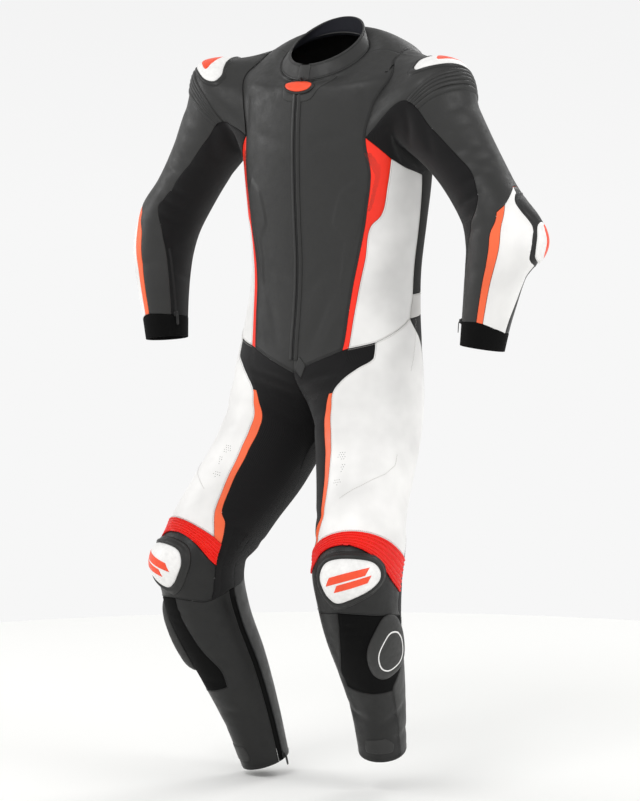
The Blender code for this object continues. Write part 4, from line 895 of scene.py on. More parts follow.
stretch_cloth, tree, shader = finish_of("aramid_stretch_cloth", linear("#100f10"), 0.85, 1.3)
rib_at = node(tree, "ShaderNodeUVMap")
rib_wave = node(tree, "ShaderNodeTexWave", {"Vector": rib_at.outputs["UV"], "Scale": 160.0})
tree.links.new(node(tree, "ShaderNodeBump", {"Height": rib_wave.outputs["Fac"], "Strength": 0.6,
                                             "Distance": 0.0006}).outputs["Normal"], shader.inputs["Normal"])
shader.inputs["Sheen Weight"].default_value = 0.12
for name, side in left_right("leg_stretch"):
    cloth_panel(name + "_cloth", [body(side, "CF", "TIP", "GROIN", "STRIP"),
                                  body(side, "CF", "OUT", "STRIP", "KNEE_END"),
                                  body(side, "SIDE", "CB", "GROIN", "KNEE_END")],
                0.0014, stretch_cloth, [name, name.replace("leg", "seat")])
for name, side in left_right("inner_sleeve"):
    cloth_panel(name + "_cloth", [sleeve(side, 5, 14, "ARMHOLE", "CUFF")],
                0.0014, stretch_cloth, [name])

air_mesh, tree, shader = finish_of("black_air_mesh", linear("#1e1e1c"), 0.8, 1.35)
holes = node(tree, "ShaderNodeTexVoronoi", {"Vector": node(tree, "ShaderNodeUVMap").outputs["UV"],
                                            "Scale": 300.0, "Randomness": 0.0})
tree.links.new(node(tree, "ShaderNodeBump", {"Height": holes.outputs["Distance"], "Strength": 0.8,
                                             "Distance": 0.0012}).outputs["Normal"], shader.inputs["Normal"])
for name, side in left_right("side_mesh"):
    cloth_panel(name + "_cloth", [body(side, "SIDE", "BACK", "ARM", "MESH")],
                0.0016, air_mesh, [name])

web_cloth, tree, shader = finish_of("black_web_cloth", linear("#060606"), 0.9, 1.25)
pile = node(tree, "ShaderNodeTexNoise", {"Vector": node(tree, "ShaderNodeTexCoord").outputs["Object"],
                                         "Scale": 900.0, "Detail": 2.0})
tree.links.new(node(tree, "ShaderNodeBump", {"Height": pile.outputs["Fac"], "Strength": 0.7,
                                             "Distance": 0.0008}).outputs["Normal"], shader.inputs["Normal"])
cloth_panel("zip_band", [body(side, "CF", "ZIP", "COLLAR_TOP", R["GROIN"] - 1) for side in (LEFT, RIGHT)],
            0.0014, web_cloth, ["zip"])
for name, side in left_right("slider_patch"):
    cloth_panel(name + "_pile", [body(side, "PATCH", "SIDE", "KNEE_END", "PATCH_D")],
                0.0016, web_cloth, [name])
for name, side in left_right("calf_zip"):
    cloth_panel(name + "_band", [body(side, "CF", "ZIP", "KNEE_END", "HEM")],
                0.0014, web_cloth, [name])
for name, side in left_right("cuff"):
    cloth_panel(name + "_web", [sleeve(side, 0, 19, "CUFF", "END")],
                0.0020, web_cloth, [name])

# ---------------------------------------------------------------- knee cups
# A white moulded cup over the knee foam, held in a black moulded frame that is sewn to
# the hide round it. The cup's face carries two slanted orange bars.


def on_skin(kind, side, places, lift=0.0):
    """Points on the worn surface at (u, s) places, moved out by lift."""
    places = np.asarray(places, float)
    points, normals = skin(kind, places[:, 0], places[:, 1], side)
    return creased(kind, side, points, normals) + normals * np.broadcast_to(lift, len(places))[:, None]


def rounded(corners, count, sharp=0.0):
    """A closed curve through corners; sharp pulls it towards straight sides."""
    corners = np.asarray(corners, float)
    n = len(corners)
    at = np.arange(count) / count * n
    k = at.astype(int) % n
    t = (at - at.astype(int))[:, None]
    a, b, c, d = (corners[(k + m) % n] for m in (-1, 0, 1, 2))
    curve = 0.5 * (2 * b + (c - a) * t + (2 * a - 5 * b + 4 * c - d) * t**2 + (3 * b - a - 3 * c + d) * t**3)
    return curve * (1 - sharp) + (b + (c - b) * t) * sharp


def shaped(name, points, faces, finish, nodes=(), smooth=True):
    """One piece from its points and faces, riding on the suit."""
    data = bpy.data.meshes.new(name)
    data.from_pydata([tuple(p) for p in points], [], [tuple(int(n) for n in face) for face in faces])
    mesh = bmesh.new()
    mesh.from_mesh(data)
    bmesh.ops.recalc_face_normals(mesh, faces=mesh.faces)
    for face in mesh.faces:
        face.smooth = smooth
    mesh.to_mesh(data)
    mesh.free()
    piece = bpy.data.objects.new(name, data)
    bpy.context.scene.collection.objects.link(piece)
    data.materials.append(finish)
    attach(piece, "root")
    if nodes:
        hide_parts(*nodes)
    return piece


def moulded(name, kind, side, outline, profile, finish, nodes=(), count=72, sharp=0.0,
            middle=None, over=None):
    """A plate on the skin: profile is (share of the way out, height in mm) from the middle;
    over adds the height of what the plate lies on."""
    edge = rounded(outline, count, sharp)
    middle = edge.mean(axis=0) if middle is None else np.array(middle)
    shares, heights = zip(*profile)
    at = sorted({*range(len(profile)), *(n + m / 4 for n in range(len(profile) - 1) for m in (1, 2, 3)
                                         if abs(shares[n + 1] - shares[n]) > 0.15)})
    profile = tuple(zip(np.interp(at, range(len(shares)), shares),
                        np.interp(at, range(len(shares)), heights)))
    points = []
    for share, height in profile + ((0, profile[-1][1]),):
        places = middle + (edge - middle) * share
        high = height + (over(places) if over else 0.0)
        ring = on_skin(kind, side, places, high / 1000)
        points.append(ring if share else ring[:1])
    faces = [(0, 1 + n, 1 + (n + 1) % count) for n in range(count)]
    for ring in range(len(profile) - 2):
        low = 1 + ring * count
        faces += [(low + n, low + count + n, low + count + (n + 1) % count, low + (n + 1) % count)
                  for n in range(count)]
    low = 1 + (len(profile) - 2) * count
    last = low + count
    faces += [(low + (n + 1) % count, low + n, last) for n in range(count)]
    return shaped(name, np.vstack(points), faces, finish, nodes)


def framed(name, kind, side, outline, inside, profile, finish, nodes=(), count=96, sharp=0.0):
    """A raised band round an opening: outline is its outer edge, inside the inner one."""
    outer, inner = rounded(outline, count, sharp), rounded(inside, count, sharp)
    rings = [on_skin(kind, side, inner + (outer - inner) * share, height / 1000) for share, height in profile]
    faces = []
    for ring in range(len(profile)):
        low, high = ring * count, (ring + 1) % len(profile) * count
        faces += [(low + n, high + n, high + (n + 1) % count, low + (n + 1) % count) for n in range(count)]
    return shaped(name, np.vstack(rings), faces, finish, nodes)


def plastic(name, colour, roughness, scuffs=0.25):
    made, tree, shader = finish_of(name, linear(colour), roughness, 1.46)
    place = node(tree, "ShaderNodeTexCoord").outputs["Object"]
    fine = node(tree, "ShaderNodeTexNoise", {"Vector": place, "Scale": 1400.0, "Detail": 2.0})
    marks = node(tree, "ShaderNodeTexNoise", {"Vector": place, "Scale": 120.0, "Detail": 5.0})
    shine = node(tree, "ShaderNodeMapRange", {"Value": marks.outputs["Fac"], "From Min": 0.4, "From Max": 0.7,
                                              "To Min": roughness - 0.05, "To Max": roughness + 0.16})
    tree.links.new(shine.outputs["Result"], shader.inputs["Roughness"])
    shade = node(tree, "ShaderNodeMapRange", {"Value": marks.outputs["Fac"], "From Min": 0.3, "From Max": 0.7,
                                              "To Min": 0.93, "To Max": 1.04})
    tone = node(tree, "ShaderNodeMix", {"Factor": 1.0, "A": linear(colour), "B": shade.outputs["Result"]},
                data_type="RGBA", blend_type="MULTIPLY")
    tree.links.new(tone.outputs["Result"], shader.inputs["Base Color"])
    bump = node(tree, "ShaderNodeBump", {"Height": fine.outputs["Fac"], "Strength": scuffs,
                                         "Distance": 0.0002})
    tree.links.new(bump.outputs["Normal"], shader.inputs["Normal"])
    return made


white_plastic = plastic("white_moulded_plastic", "#f2f1ef", 0.34)
black_plastic = plastic("black_moulded_rubber", "#1d1d1c", 0.45, 0.5)
orange_plastic = plastic("orange_moulded_plastic", "#f6502c", 0.36)
KNEE_WINDOW = ((0.217, 0.988), (0.235, 0.975), (0.28, 0.970), (0.352, 0.970), (0.398, 0.973), (0.424, 0.982),
               (0.424, 0.993), (0.394, 1.003), (0.337, 1.012), (0.278, 1.019), (0.246, 1.013), (0.226, 1.001))
KNEE_MIDDLE = np.array([0.322, 0.992])


def grown(outline, middle, share_u, share_s):
    return [(middle[0] + (u - middle[0]) * share_u, middle[1] + (s - middle[1]) * share_s)
            for u, s in outline]


def dome(middle, spans, heights):
    """How high a cup's face stands, in mm, at each place: heights is (share out, height)."""
    def height(places):
        out = np.hypot((places[:, 0] - middle[0]) / spans[0], (places[:, 1] - middle[1]) / spans[1])
        return np.interp(out, *np.array(heights).T)
    return height


CUP_FACE = ((0, 10.5), (0.3, 10.4), (0.6, 9.6), (0.8, 8.2), (0.92, 6.6), (0.98, 5.2), (1.02, 3.6))
CUP_BARS = (((0.250, 0.9985), (0.264, 0.9895), (0.384, 0.9785), (0.370, 0.9875)),
            ((0.276, 1.0050), (0.288, 0.9970), (0.390, 0.9872), (0.378, 0.9952)))
for name, side in left_right("knee_cup"):
    moulded(name + "_white", "body", side, KNEE_WINDOW,
            CUP_FACE + ((1.02, -0.3),), white_plastic, [name], count=96)
    framed(name + "_frame", "body", side, grown(KNEE_WINDOW, KNEE_MIDDLE, 1.30, 1.42),
           grown(KNEE_WINDOW, KNEE_MIDDLE, 1.0, 1.0),
           ((0, 3.6), (0.12, 6.2), (0.30, 7.0), (0.48, 6.2), (0.62, 3.6), (0.75, 3.1), (0.88, 2.6),
            (1.0, 0.5),
            (1.0, -0.3), (0.0, -0.3)), black_plastic)
    for n, outline in enumerate(CUP_BARS):
        moulded(f"{name}_bar_{n}", "body", side, outline,
                ((0, 0.7), (0.5, 0.7), (0.9, 0.7), (1.0, 0.4), (1.0, -1.0)),
                orange_plastic, count=64, sharp=1.0,
                over=dome(KNEE_MIDDLE, (0.106, 0.0255), CUP_FACE))

# ---------------------------------------------------------------- knee sliders
# A hard moulded puck on each patch of loop pile, held by its hook backing, with a raised
# face and a sloped side. It is turned a little up and out.

puck_plastic = plastic("slider_moulded_nylon", "#2a2a29", 0.5, 0.6)
PUCK = ((0.439, 1.052), (0.48, 1.052), (0.522, 1.068), (0.552, 1.103), (0.551, 1.146), (0.515, 1.171),
        (0.455, 1.181), (0.401, 1.182), (0.362, 1.166), (0.350, 1.135), (0.360, 1.105), (0.395, 1.075))
PUCK_MIDDLE = np.array([0.452, 1.118])
for name, side in left_right("slider_puck"):
    moulded(name + "_body", "body", side, PUCK,
            ((0, 12.6), (0.35, 12.5), (0.62, 12.2), (0.74, 11.6), (0.80, 10.6), (0.88, 8.2),
             (0.95, 5.0), (0.99, 2.6),
             (1.0, 1.2), (1.0, -0.3)), puck_plastic, [name], count=96)
    framed(name + "_line", "body", side, grown(PUCK, PUCK_MIDDLE, 0.60, 0.60),
           grown(PUCK, PUCK_MIDDLE, 0.55, 0.55),
           ((0, 12.0), (0.15, 12.75), (0.85, 12.75), (1.0, 12.0)), white_plastic)

# ---------------------------------------------------------------- shoulder caps
# A smooth moulded cap over the point of each shoulder, white with an orange inlay, in a
# black moulded frame sewn to the hide.

CAP = ((0.112, 0.026), (0.138, 0.036), (0.122, 0.049), (0.062, 0.057), (0.0, 0.060), (-0.065, 0.058),
       (-0.110, 0.050), (-0.105, 0.036), (-0.05, 0.029), (0.035, 0.028), (0.075, 0.026))
CAP_MIDDLE = np.array([0.014, 0.043])
CAP_FACE = ((0, 6.8), (0.4, 6.6), (0.7, 5.8), (0.88, 4.6), (0.97, 3.4), (1.02, 2.4))
for name, side in left_right("shoulder_cap"):
    moulded(name + "_white", "sleeve", side, CAP,
            CAP_FACE + ((1.02, -0.3),), white_plastic, [name], count=96)
    framed(name + "_frame", "sleeve", side, grown(CAP, CAP_MIDDLE, 1.20, 1.30),
           grown(CAP, CAP_MIDDLE, 1.0, 1.0),
           ((0, 2.4), (0.25, 4.2), (0.5, 4.4), (0.75, 3.2), (1.0, 0.4), (1.0, -0.3), (0.0, -0.3)),
           black_plastic)
    moulded(name + "_inlay", "sleeve", side,
            ((0.088, 0.045), (0.050, 0.036), (-0.02, 0.035), (-0.085, 0.041), (-0.04, 0.049), (0.03, 0.051)),
            ((0, 0.3), (0.5, 0.3), (0.92, 0.3), (1.0, 0.0), (1.0, -1.0)), orange_plastic,
            count=48,
            over=dome(CAP_MIDDLE, (0.125, 0.0165), CAP_FACE))

# ---------------------------------------------------------------- elbow guards
# Black hide over foam from the outer elbow to the back, edged with a rounded piping, and
# a moulded white plate with an orange edge on the point of the elbow.

ELBOW_GUARD = ((0.035, 0.306), (0.058, 0.319), (0.050, 0.330), (0.012, 0.346), (-0.006, 0.358), (0.0, 0.374),
               (0.0, 0.395), (-0.014, 0.404), (-0.06, 0.408), (-0.16, 0.410), (-0.26, 0.400), (-0.31, 0.365),
               (-0.29, 0.315), (-0.20, 0.296), (-0.10, 0.294), (-0.02, 0.301))
ELBOW_PLATE = ((-0.030, 0.355), (-0.019, 0.372), (-0.020, 0.388), (-0.036, 0.398), (-0.09, 0.402),
               (-0.17, 0.396),
               (-0.21, 0.372), (-0.19, 0.350), (-0.12, 0.345), (-0.065, 0.348))
ELBOW_INLAY = ((-0.056, 0.353), (-0.058, 0.372), (-0.064, 0.392), (-0.10, 0.396), (-0.15, 0.388),
               (-0.165, 0.370),
               (-0.15, 0.354), (-0.10, 0.349))
GUARD_MIDDLE = np.array([-0.115, 0.348])
PLATE_MIDDLE = np.array([-0.110, 0.373])
GUARD_FACE = ((0, 5.5), (0.3, 5.3), (0.6, 4.4), (0.8, 3.0), (0.9, 1.8), (0.94, 2.4), (0.975, 2.7), (1.0, 1.4))
PLATE_FACE = ((0, 7.0), (0.4, 6.9), (0.75, 6.4), (0.9, 5.8), (1.0, 4.6))
for name, side in left_right("elbow_plate"):
    moulded(name + "_guard", "sleeve", side, ELBOW_GUARD, GUARD_FACE + ((1.0, -0.3),), deep_hide,
            count=160, middle=GUARD_MIDDLE)
    moulded(name + "_white", "sleeve", side, ELBOW_PLATE, PLATE_FACE + ((1.0, -0.3),), white_plastic,
            [name], count=96, middle=PLATE_MIDDLE)
    moulded(name + "_inlay", "sleeve", side, ELBOW_INLAY,
            ((0, 0.3), (0.5, 0.3), (0.92, 0.3), (1.0, 0.0), (1.0, -1.0)),
            orange_plastic, over=dome(PLATE_MIDDLE, (0.10, 0.028), PLATE_FACE))
    moulded(name + "_tip", "sleeve", side, ((0.030, 0.275), (-0.034, 0.289), (-0.022, 0.296), (0.046, 0.294)),
            ((0, 0.9), (0.5, 0.9), (0.95, 0.8), (1.0, 0.4), (1.0, -0.3)), orange_plastic,
            count=40, sharp=0.85)

# ---------------------------------------------------------------- front zip and badge
# A coil of moulded teeth down the middle under folded hide edges, a flap of hide below the collar
# and an oval rubber badge on it. The zip's slider and its flat puller at the collar are made below.

def across_middle(name, outline, profile, finish, nodes=(), count=72):
    """A plate across the middle; the outline is in metres: x, and s down the front."""
    corners = rounded(outline, count)
    middle = corners.mean(axis=0)

    def world(place, height):
        place = np.atleast_2d(place)
        points = np.zeros((len(place), 3))
        for n, (x, s) in enumerate(place):
            side = LEFT if x >= 0 else RIGHT
            u = np.linspace(0, 0.2, 21)
            line, _ = skin("body", u, np.full(21, s), side)
            points[n] = on_skin("body", side, [(np.interp(abs(x), np.abs(line[:, 0]), u), s)],
                                height / 1000)[0]
        return points

    rings = [world(middle + (corners - middle) * share, height) for share, height in profile[1:]]
    points = np.vstack([world(middle, profile[0][1])] + rings + [world(middle, profile[-1][1])])
    faces = [(0, 1 + n, 1 + (n + 1) % count) for n in range(count)]
    for ring in range(len(rings) - 1):
        low = 1 + ring * count
        faces += [(low + n, low + count + n, low + count + (n + 1) % count, low + (n + 1) % count)
                  for n in range(count)]
    low = 1 + (len(rings) - 1) * count
    faces += [(low + (n + 1) % count, low + n, low + count) for n in range(count)]
    return shaped(name, points, faces, finish, nodes)


flap_hide = cowhide("flap_cowhide", "#2b2b2a", 0.5)
across_middle("collar_flap", ((-0.024, 0.012), (-0.030, 0.090), (-0.030, 0.134), (-0.014, 0.142),
                              (0.020, 0.140),
                              (0.036, 0.122), (0.058, 0.040), (0.060, 0.012), (0.0, 0.002)),
              ((0, 1.3), (0.8, 1.3), (0.96, 1.2), (1.0, 0.7), (1.0, -0.3)), flap_hide)
across_middle("collar_badge_rim", ((-0.034, 0.088), (-0.024, 0.052), (0.0, 0.034), (0.024, 0.052),
                                   (0.034, 0.088),
                                   (0.025, 0.115), (0.0, 0.125), (-0.025, 0.115)),
              ((0, 3.6), (0.84, 3.6), (0.90, 4.6), (0.97, 3.8), (1.0, 2.0), (1.0, 0.2)),
              black_plastic, ["collar_badge"])
across_middle("collar_badge_face", ((-0.028, 0.086), (-0.019, 0.058), (0.0, 0.045), (0.019, 0.058),
                                    (0.028, 0.086),
                                    (0.020, 0.108), (0.0, 0.116), (-0.020, 0.108)),
              ((0, 4.9), (0.6, 4.8), (0.9, 4.4), (1.0, 3.9), (1.0, 3.0)), orange_plastic)
across_middle("collar_tab", ((-0.0085, -0.96), (-0.0105, -0.5), (-0.0105, 0.02), (0.0105, 0.02),
                             (0.0115, -0.5),
                             (0.0105, -0.96)),
              ((0, 1.3), (0.4, 1.3), (0.8, 1.3), (0.95, 1.1), (1.0, 0.5), (1.0, -0.3)), flap_hide)
placket_hide = cowhide("placket_cowhide", "#242423", 0.44)


def down_front(side, offset, start, end, count, lift):
    """Points down the front at a sideways offset in metres from the middle."""
    s = np.linspace(start, end, count)
    near = on_skin("body", side, np.stack([np.full(count, 0.012), s], axis=1), lift)
    middle = on_skin("body", side, np.stack([np.full(count, 0.0), s], axis=1), lift)
    out = near - middle
    out /= np.linalg.norm(out, axis=1, keepdims=True)
    return middle + out * np.broadcast_to(offset, count)[:, None]


# Folded hide down both edges of the zip: (offset from the middle, height) in mm
PLACKET = ((2.2, 0.4), (2.3, 1.8), (3.2, 2.6), (4.2, 2.8), (6.0, 2.5), (7.6, 1.7), (8.8, 0.9),
           (9.2, -0.2), (2.4, -0.2))
for name, side in left_right("placket"):
    s_count = 150
    rings = [down_front(side, x / 1000, 0.118, 0.590, s_count, z / 1000) for x, z in PLACKET]
    around = len(rings)
    faces = [(a * s_count + n, (a + 1) % around * s_count + n, (a + 1) % around * s_count + n + 1,
              a * s_count + n + 1)
             for a in range(around) for n in range(s_count - 1)]
    faces += [tuple(a * s_count for a in range(around)),
              tuple(a * s_count + s_count - 1 for a in range(around))]
    strip = shaped(name + "_fold", np.vstack(rings), faces, placket_hide)

zip_metal, tree, shader = finish_of("dark_zip_metal", linear("#3a3a3a"), 0.35, 1.5)
shader.inputs["Metallic"].default_value = 0.9
brushed = node(tree, "ShaderNodeTexNoise", {"Vector": node(tree, "ShaderNodeTexCoord").outputs["Object"],
                                            "Scale": 700.0, "Detail": 4.0})
tree.links.new(node(tree, "ShaderNodeBump", {"Height": brushed.outputs["Fac"], "Strength": 0.2,
                                             "Distance": 0.0002}).outputs["Normal"], shader.inputs["Normal"])
coil_plastic = plastic("zip_coil_nylon", "#151515", 0.4)


def toothed(name, middles, sideways, outwards, finish, tooth=(0.0016, 0.0026, 0.0011)):
    """Rows of small chamfered teeth, one from each side in turn, along a line of points."""
    points, faces = [], []
    ahead = np.gradient(middles, axis=0)
    ahead /= np.linalg.norm(ahead, axis=1, keepdims=True)
    for n in range(len(middles)):
        hand = 1 if n % 2 else -1
        across, out, along = sideways[n] * hand, outwards[n], ahead[n]
        first = len(points)
        for wide, high in ((1.0, 0.0), (1.0, 0.7), (0.7, 1.0)):
            for x, y in ((-0.35, -0.5), (1.0, -0.5), (1.0, 0.5), (-0.35, 0.5)):
                points.append(middles[n] + across * tooth[1] * x * wide + along * tooth[0] * y * wide
                              + out * (tooth[2] * high))
        for ring in (0, 4):
            faces += [(first + ring + k, first + ring + (k + 1) % 4, first + ring + 4 + (k + 1) % 4,
                       first + ring + 4 + k) for k in range(4)]
        faces += [(first + 8, first + 9, first + 10, first + 11), (first + 3, first + 2, first + 1, first)]
    return shaped(name, points, faces, finish, smooth=False)


def evenly(points, pitch):
    """The same line with points one pitch apart, and where they fall on it."""
    gone = np.concatenate([[0], np.cumsum(np.linalg.norm(np.diff(points, axis=0), axis=1))])
    at = np.arange(0, gone[-1], pitch)
    return np.stack([np.interp(at, gone, points[:, k]) for k in range(3)], axis=1), at / gone[-1]


zip_line, _ = evenly(down_front(LEFT, 0.0, 0.100, 0.586, 200, 0.0004), 0.0013)
zip_out = np.gradient(zip_line, axis=0)
zip_side = np.tile([1.0, 0.0, 0.0], (len(zip_line), 1))
zip_out = np.cross(zip_side, zip_out)
zip_out /= np.linalg.norm(zip_out, axis=1, keepdims=True)
if zip_out[50, 1] > 0:
    zip_out = -zip_out
toothed("front_zip_teeth", zip_line, zip_side, zip_out, coil_plastic)


def sewn(name, lines, thread, pitch=0.0034, long=0.0025, thick=0.00035):
    """Short stitches of thread along lines of (points, outward normals)."""
    points, faces = [], []
    for line, outward in lines:
        middles, at = evenly(line, pitch)
        if len(middles) < 3:
            continue
        index = at * (len(line) - 1)
        normals = np.stack([np.interp(index, np.arange(len(line)), outward[:, k]) for k in range(3)], axis=1)
        ahead = np.gradient(middles, axis=0)
        ahead /= np.linalg.norm(ahead, axis=1, keepdims=True)
        across = np.cross(ahead, normals)
        for n in range(len(middles)):
            first = len(points)
            for along, high, width in ((-0.5, -0.3, 0.5), (-0.28, 0.75, 1.0), (0.28, 0.75, 1.0),
                                       (0.5, -0.3, 0.5)):
                middle = middles[n] + ahead[n] * long * along + normals[n] * thick * high
                points += [middle + across[n] * thick * width, middle + normals[n] * thick * 0.8 * width,
                           middle - across[n] * thick * width]
            for ring in range(0, 9, 3):
                faces += [(first + ring + k, first + ring + k + 1, first + ring + k + 4, first + ring + k + 3)
                          for k in range(2)]
                faces.append((first + ring + 2, first + ring, first + ring + 3, first + ring + 5))
            faces += [(first, first + 1, first + 2), (first + 9, first + 11, first + 10)]
    return shaped(name, points, faces, thread[0], smooth=True)


def beside(kind, side, ends, off, lift=0.0004, count=80):
    """A line beside a seam: ends are two lattice places, off the distance to its right in metres."""
    (x0, y0), (x1, y1) = ends
    x, y = np.linspace(x0, x1, count), np.linspace(y0, y1, count)
    points, normals = lattice(kind, side, x, y)
    ahead = np.gradient(points, axis=0)
    ahead /= np.linalg.norm(ahead, axis=1, keepdims=True)
    right = np.cross(ahead, normals)
    return creased(kind, side, points + right * off, normals) + normals * lift, normals



# ---------------------------------------------------------------- sewing
# Each seam is topstitched on one or both sides in bonded thread, black on the dark hide
# and pale grey on the white; the knee and shoulder ribs are sewn down in their grooves.


def thread_of(name, colour):
    made, tree, shader = finish_of(name, linear(colour), 0.6)
    twist = node(tree, "ShaderNodeTexWave", {"Vector": node(tree, "ShaderNodeTexCoord").outputs["Object"],
                                             "Scale": 1500.0}, bands_direction="DIAGONAL")
    tree.links.new(node(tree, "ShaderNodeBump", {"Height": twist.outputs["Fac"], "Strength": 0.4,
                                                 "Distance": 0.0001}).outputs["Normal"],
                   shader.inputs["Normal"])
    return made


black_thread = (thread_of("black_bonded_thread", "#141414"), "black_cloth")
grey_thread = (thread_of("grey_bonded_thread", "#bdbab5"), "grey_leather")
red_thread = (thread_of("red_bonded_thread", "#ff7a55"), "rib_leather")
# tube, from and to lattice places, distances beside the seam in mm
BLACK_SEAMS = (
    ("body", ("IN", "ARM"), ("IN", "GROIN"), (2.2, 4.6)),
    ("body", ("IN", 4.5), ("IN", "ARM"), (2.2, 4.6)),
    ("body", ("ZIP", "NECK"), ("IN", "NECK"), (2.2,)),
    ("body", ("ZIP", 1.75), ("IN", 1.75), (0.0,)),
    ("body", ("ZIP", 0.2), ("IN", 0.2), (0.0,)),
    ("body", ("BACK", 0.2), ("CB", 0.2), (0.0,)),
    ("body", ("BACK", 1.75), ("CB", 1.75), (0.0,)),
    ("body", ("BACK", "NECK"), ("CB", "NECK"), (2.2,)),
    ("body", ("BACK", 4.5), ("BACK", "MESH"), (-2.2, -4.6)),
    ("body", ("BACK", "GROIN"), ("CB", "GROIN"), (-2.2, -4.6)),
    ("body", ("BACK", "ARM"), ("CB", "ARM"), (-2.2, 2.2)),
    ("body", ("CF", "GROIN"), ("IN", "GROIN"), (-2.2, -4.6)),
    ("body", ("OUT", "KNEE_END"), ("SIDE", "KNEE_END"), (-2.2,)),
    ("body", ("SIDE", "KNEE_END"), ("SIDE", "HEM"), (2.2, -2.2)),
    ("body", ("ZIP", "KNEE_END"), ("ZIP", "HEM"), (-2.2,)),
    ("body", ("PATCH", "KNEE_END"), ("PATCH", "PATCH_D"), (2.2,)),
    ("body", ("PATCH", "PATCH_D"), ("SIDE", "PATCH_D"), (2.2,)),
    ("body", ("SIDE", "HEM"), ("CB", "HEM"), (-6.0,)),
    ("body", ("ZIP", "HEM"), ("SIDE", "HEM"), (-6.0,)),
)
BLACK_SLEEVE_SEAMS = (
    ((14, "ARMHOLE"), (24, "ARMHOLE"), (-2.2, -4.6)),
    ((24, "ARMHOLE"), (24, "ELBOW"), (-2.2, -4.6)),
    ((14, "ARMHOLE"), (14, "CUFF"), (2.2, 4.6)),
    ((14, "RIB_TOP"), (24, "RIB_TOP"), (2.2,)),
    ((14, "RIB_END"), (24, "RIB_END"), (-2.2,)),
    ((14, "ELBOW"), (19, "ELBOW"), (-2.2, 2.2)),
    ((19, "ELBOW"), (22, "ELBOW"), (2.2,)),
    ((5, "ELBOW"), (5, "CUFF"), (-2.2,)),
    ((0, "CUFF"), (18.9, "CUFF"), (2.0,)),
)
GREY_SEAMS = (
    ("body", ("OUT", "ARM"), ("OUT", "GROIN"), (-2.2,)),
    ("body", ("SIDE", "ARM"), ("SIDE", "GROIN"), (2.2, 4.6)),
    ("body", ("OUT", "GROIN"), ("SIDE", "GROIN"), (-2.2, 2.2)),
    ("body", ("SIDE", "MESH"), ("BACK", "MESH"), (2.2,)),
    ("body", ("TIP", "STRIP"), ("TIP", "RIB_TOP"), (-2.2,)),
    ("body", ("TIP", "GROIN"), ("TIP", "STRIP"), (-2.2,)),
    ("body", ("TIP", "RIB_TOP"), ("SIDE", "RIB_TOP"), (-2.2,)),
    ("body", ("SIDE", "GROIN"), ("SIDE", "RIB_TOP"), (2.2,)),
)


def spot(kind, place):
    x, y = place
    names = C if kind == "body" else {}
    rows = R if kind == "body" else S
    return names.get(x, x) if isinstance(x, str) else x, rows[y] if isinstance(y, str) else y


for name, side in left_right("sewing"):
    lines = []
    for kind, start, end, offs in BLACK_SEAMS:
        lines += [beside(kind, side, (spot(kind, start), spot(kind, end)), off * side / 1000) for off in offs]
    for start, end, offs in BLACK_SLEEVE_SEAMS:
        lines += [beside("sleeve", side, (spot("sleeve", start), spot("sleeve", end)), off * side / 1000)
                  for off in offs]
    sewn("dark_" + name, lines, black_thread)
    sewn("pale_" + name, [beside(kind, side, (spot(kind, start), spot(kind, end)), off * side / 1000)
                          for kind, start, end, offs in GREY_SEAMS for off in offs], grey_thread)
    grooves = [beside("body", side, ((C["OUT"] + 0.05, R["RIB_TOP"] + n / 7),
                                     (C["SIDE"] - 0.05, R["RIB_TOP"] + n / 7)),
                      0.0) for n in range(1, 7)]
    sewn("rib_" + name, grooves, red_thread)
    sewn("shoulder_rib_" + name,
         [beside("sleeve", side, ((14.05, S["RIB_TOP"] + n / 5), (23.95, S["RIB_TOP"] + n / 5)), 0.0)
          for n in range(1, 5)], black_thread)

# ---------------------------------------------------------------- collar lining and binding
# Inside the collar a navy knitted mesh lines the hide, and a strip of thin hide is bound
# over the top edge and sewn through.

lining_knit, tree, shader = finish_of("navy_knitted_lining", linear("#15161d"), 0.9, 1.35)
loops = node(tree, "ShaderNodeTexVoronoi", {"Vector": node(tree, "ShaderNodeUVMap").outputs["UV"],
                                            "Scale": 420.0, "Randomness": 0.1})
tree.links.new(node(tree, "ShaderNodeBump", {"Height": loops.outputs["Distance"], "Strength": 0.7,
                                             "Distance": 0.0008}).outputs["Normal"], shader.inputs["Normal"])
LINING_DEPTH = 0.0029


def inwards(kind, side, x, y):
    return np.full(len(x), -LINING_DEPTH)


cloth_panel("collar_lining", [body(side, *columns, "COLLAR_TOP", "TOP") for side in (LEFT, RIGHT)
                              for columns in (("ZIP", "IN"), ("BACK", "CB"))],
            0.0008, lining_knit, [], fold=0, shape=inwards)


def corded(name, lines, radius, finish, around=8):
    """Round cords or rolled edges along lines of points."""
    points, faces = [], []
    for line in lines:
        line = np.asarray(line, float)
        ahead = np.gradient(line, axis=0)
        ahead /= np.linalg.norm(ahead, axis=1, keepdims=True)
        side_way = np.cross(ahead, [0.0, 0.0, 1.0])
        side_way[np.linalg.norm(side_way, axis=1) < 0.1] = (1.0, 0.0, 0.0)
        side_way /= np.linalg.norm(side_way, axis=1, keepdims=True)
        up = np.cross(side_way, ahead)
        first = len(points)
        for n in range(len(line)):
            for k in range(around):
                turn = 2 * math.pi * k / around
                points.append(line[n] + radius * (side_way[n] * math.cos(turn) + up[n] * math.sin(turn)))
        for n in range(len(line) - 1):
            low = first + n * around
            faces += [(low + k, low + (k + 1) % around, low + around + (k + 1) % around, low + around + k)
                      for k in range(around)]
        faces += [tuple(range(first, first + around)), tuple(range(len(points) - around, len(points)))]
    return shaped(name, points, faces, finish)


def seam_line(kind, side, start, end, lift, count=90):
    """Points of a line between two lattice places, lifted off the skin."""
    x, y = np.linspace(start[0], end[0], count), np.linspace(start[1], end[1], count)
    points, normals = lattice(kind, side, x, y)
    return creased(kind, side, points, normals) + normals * lift


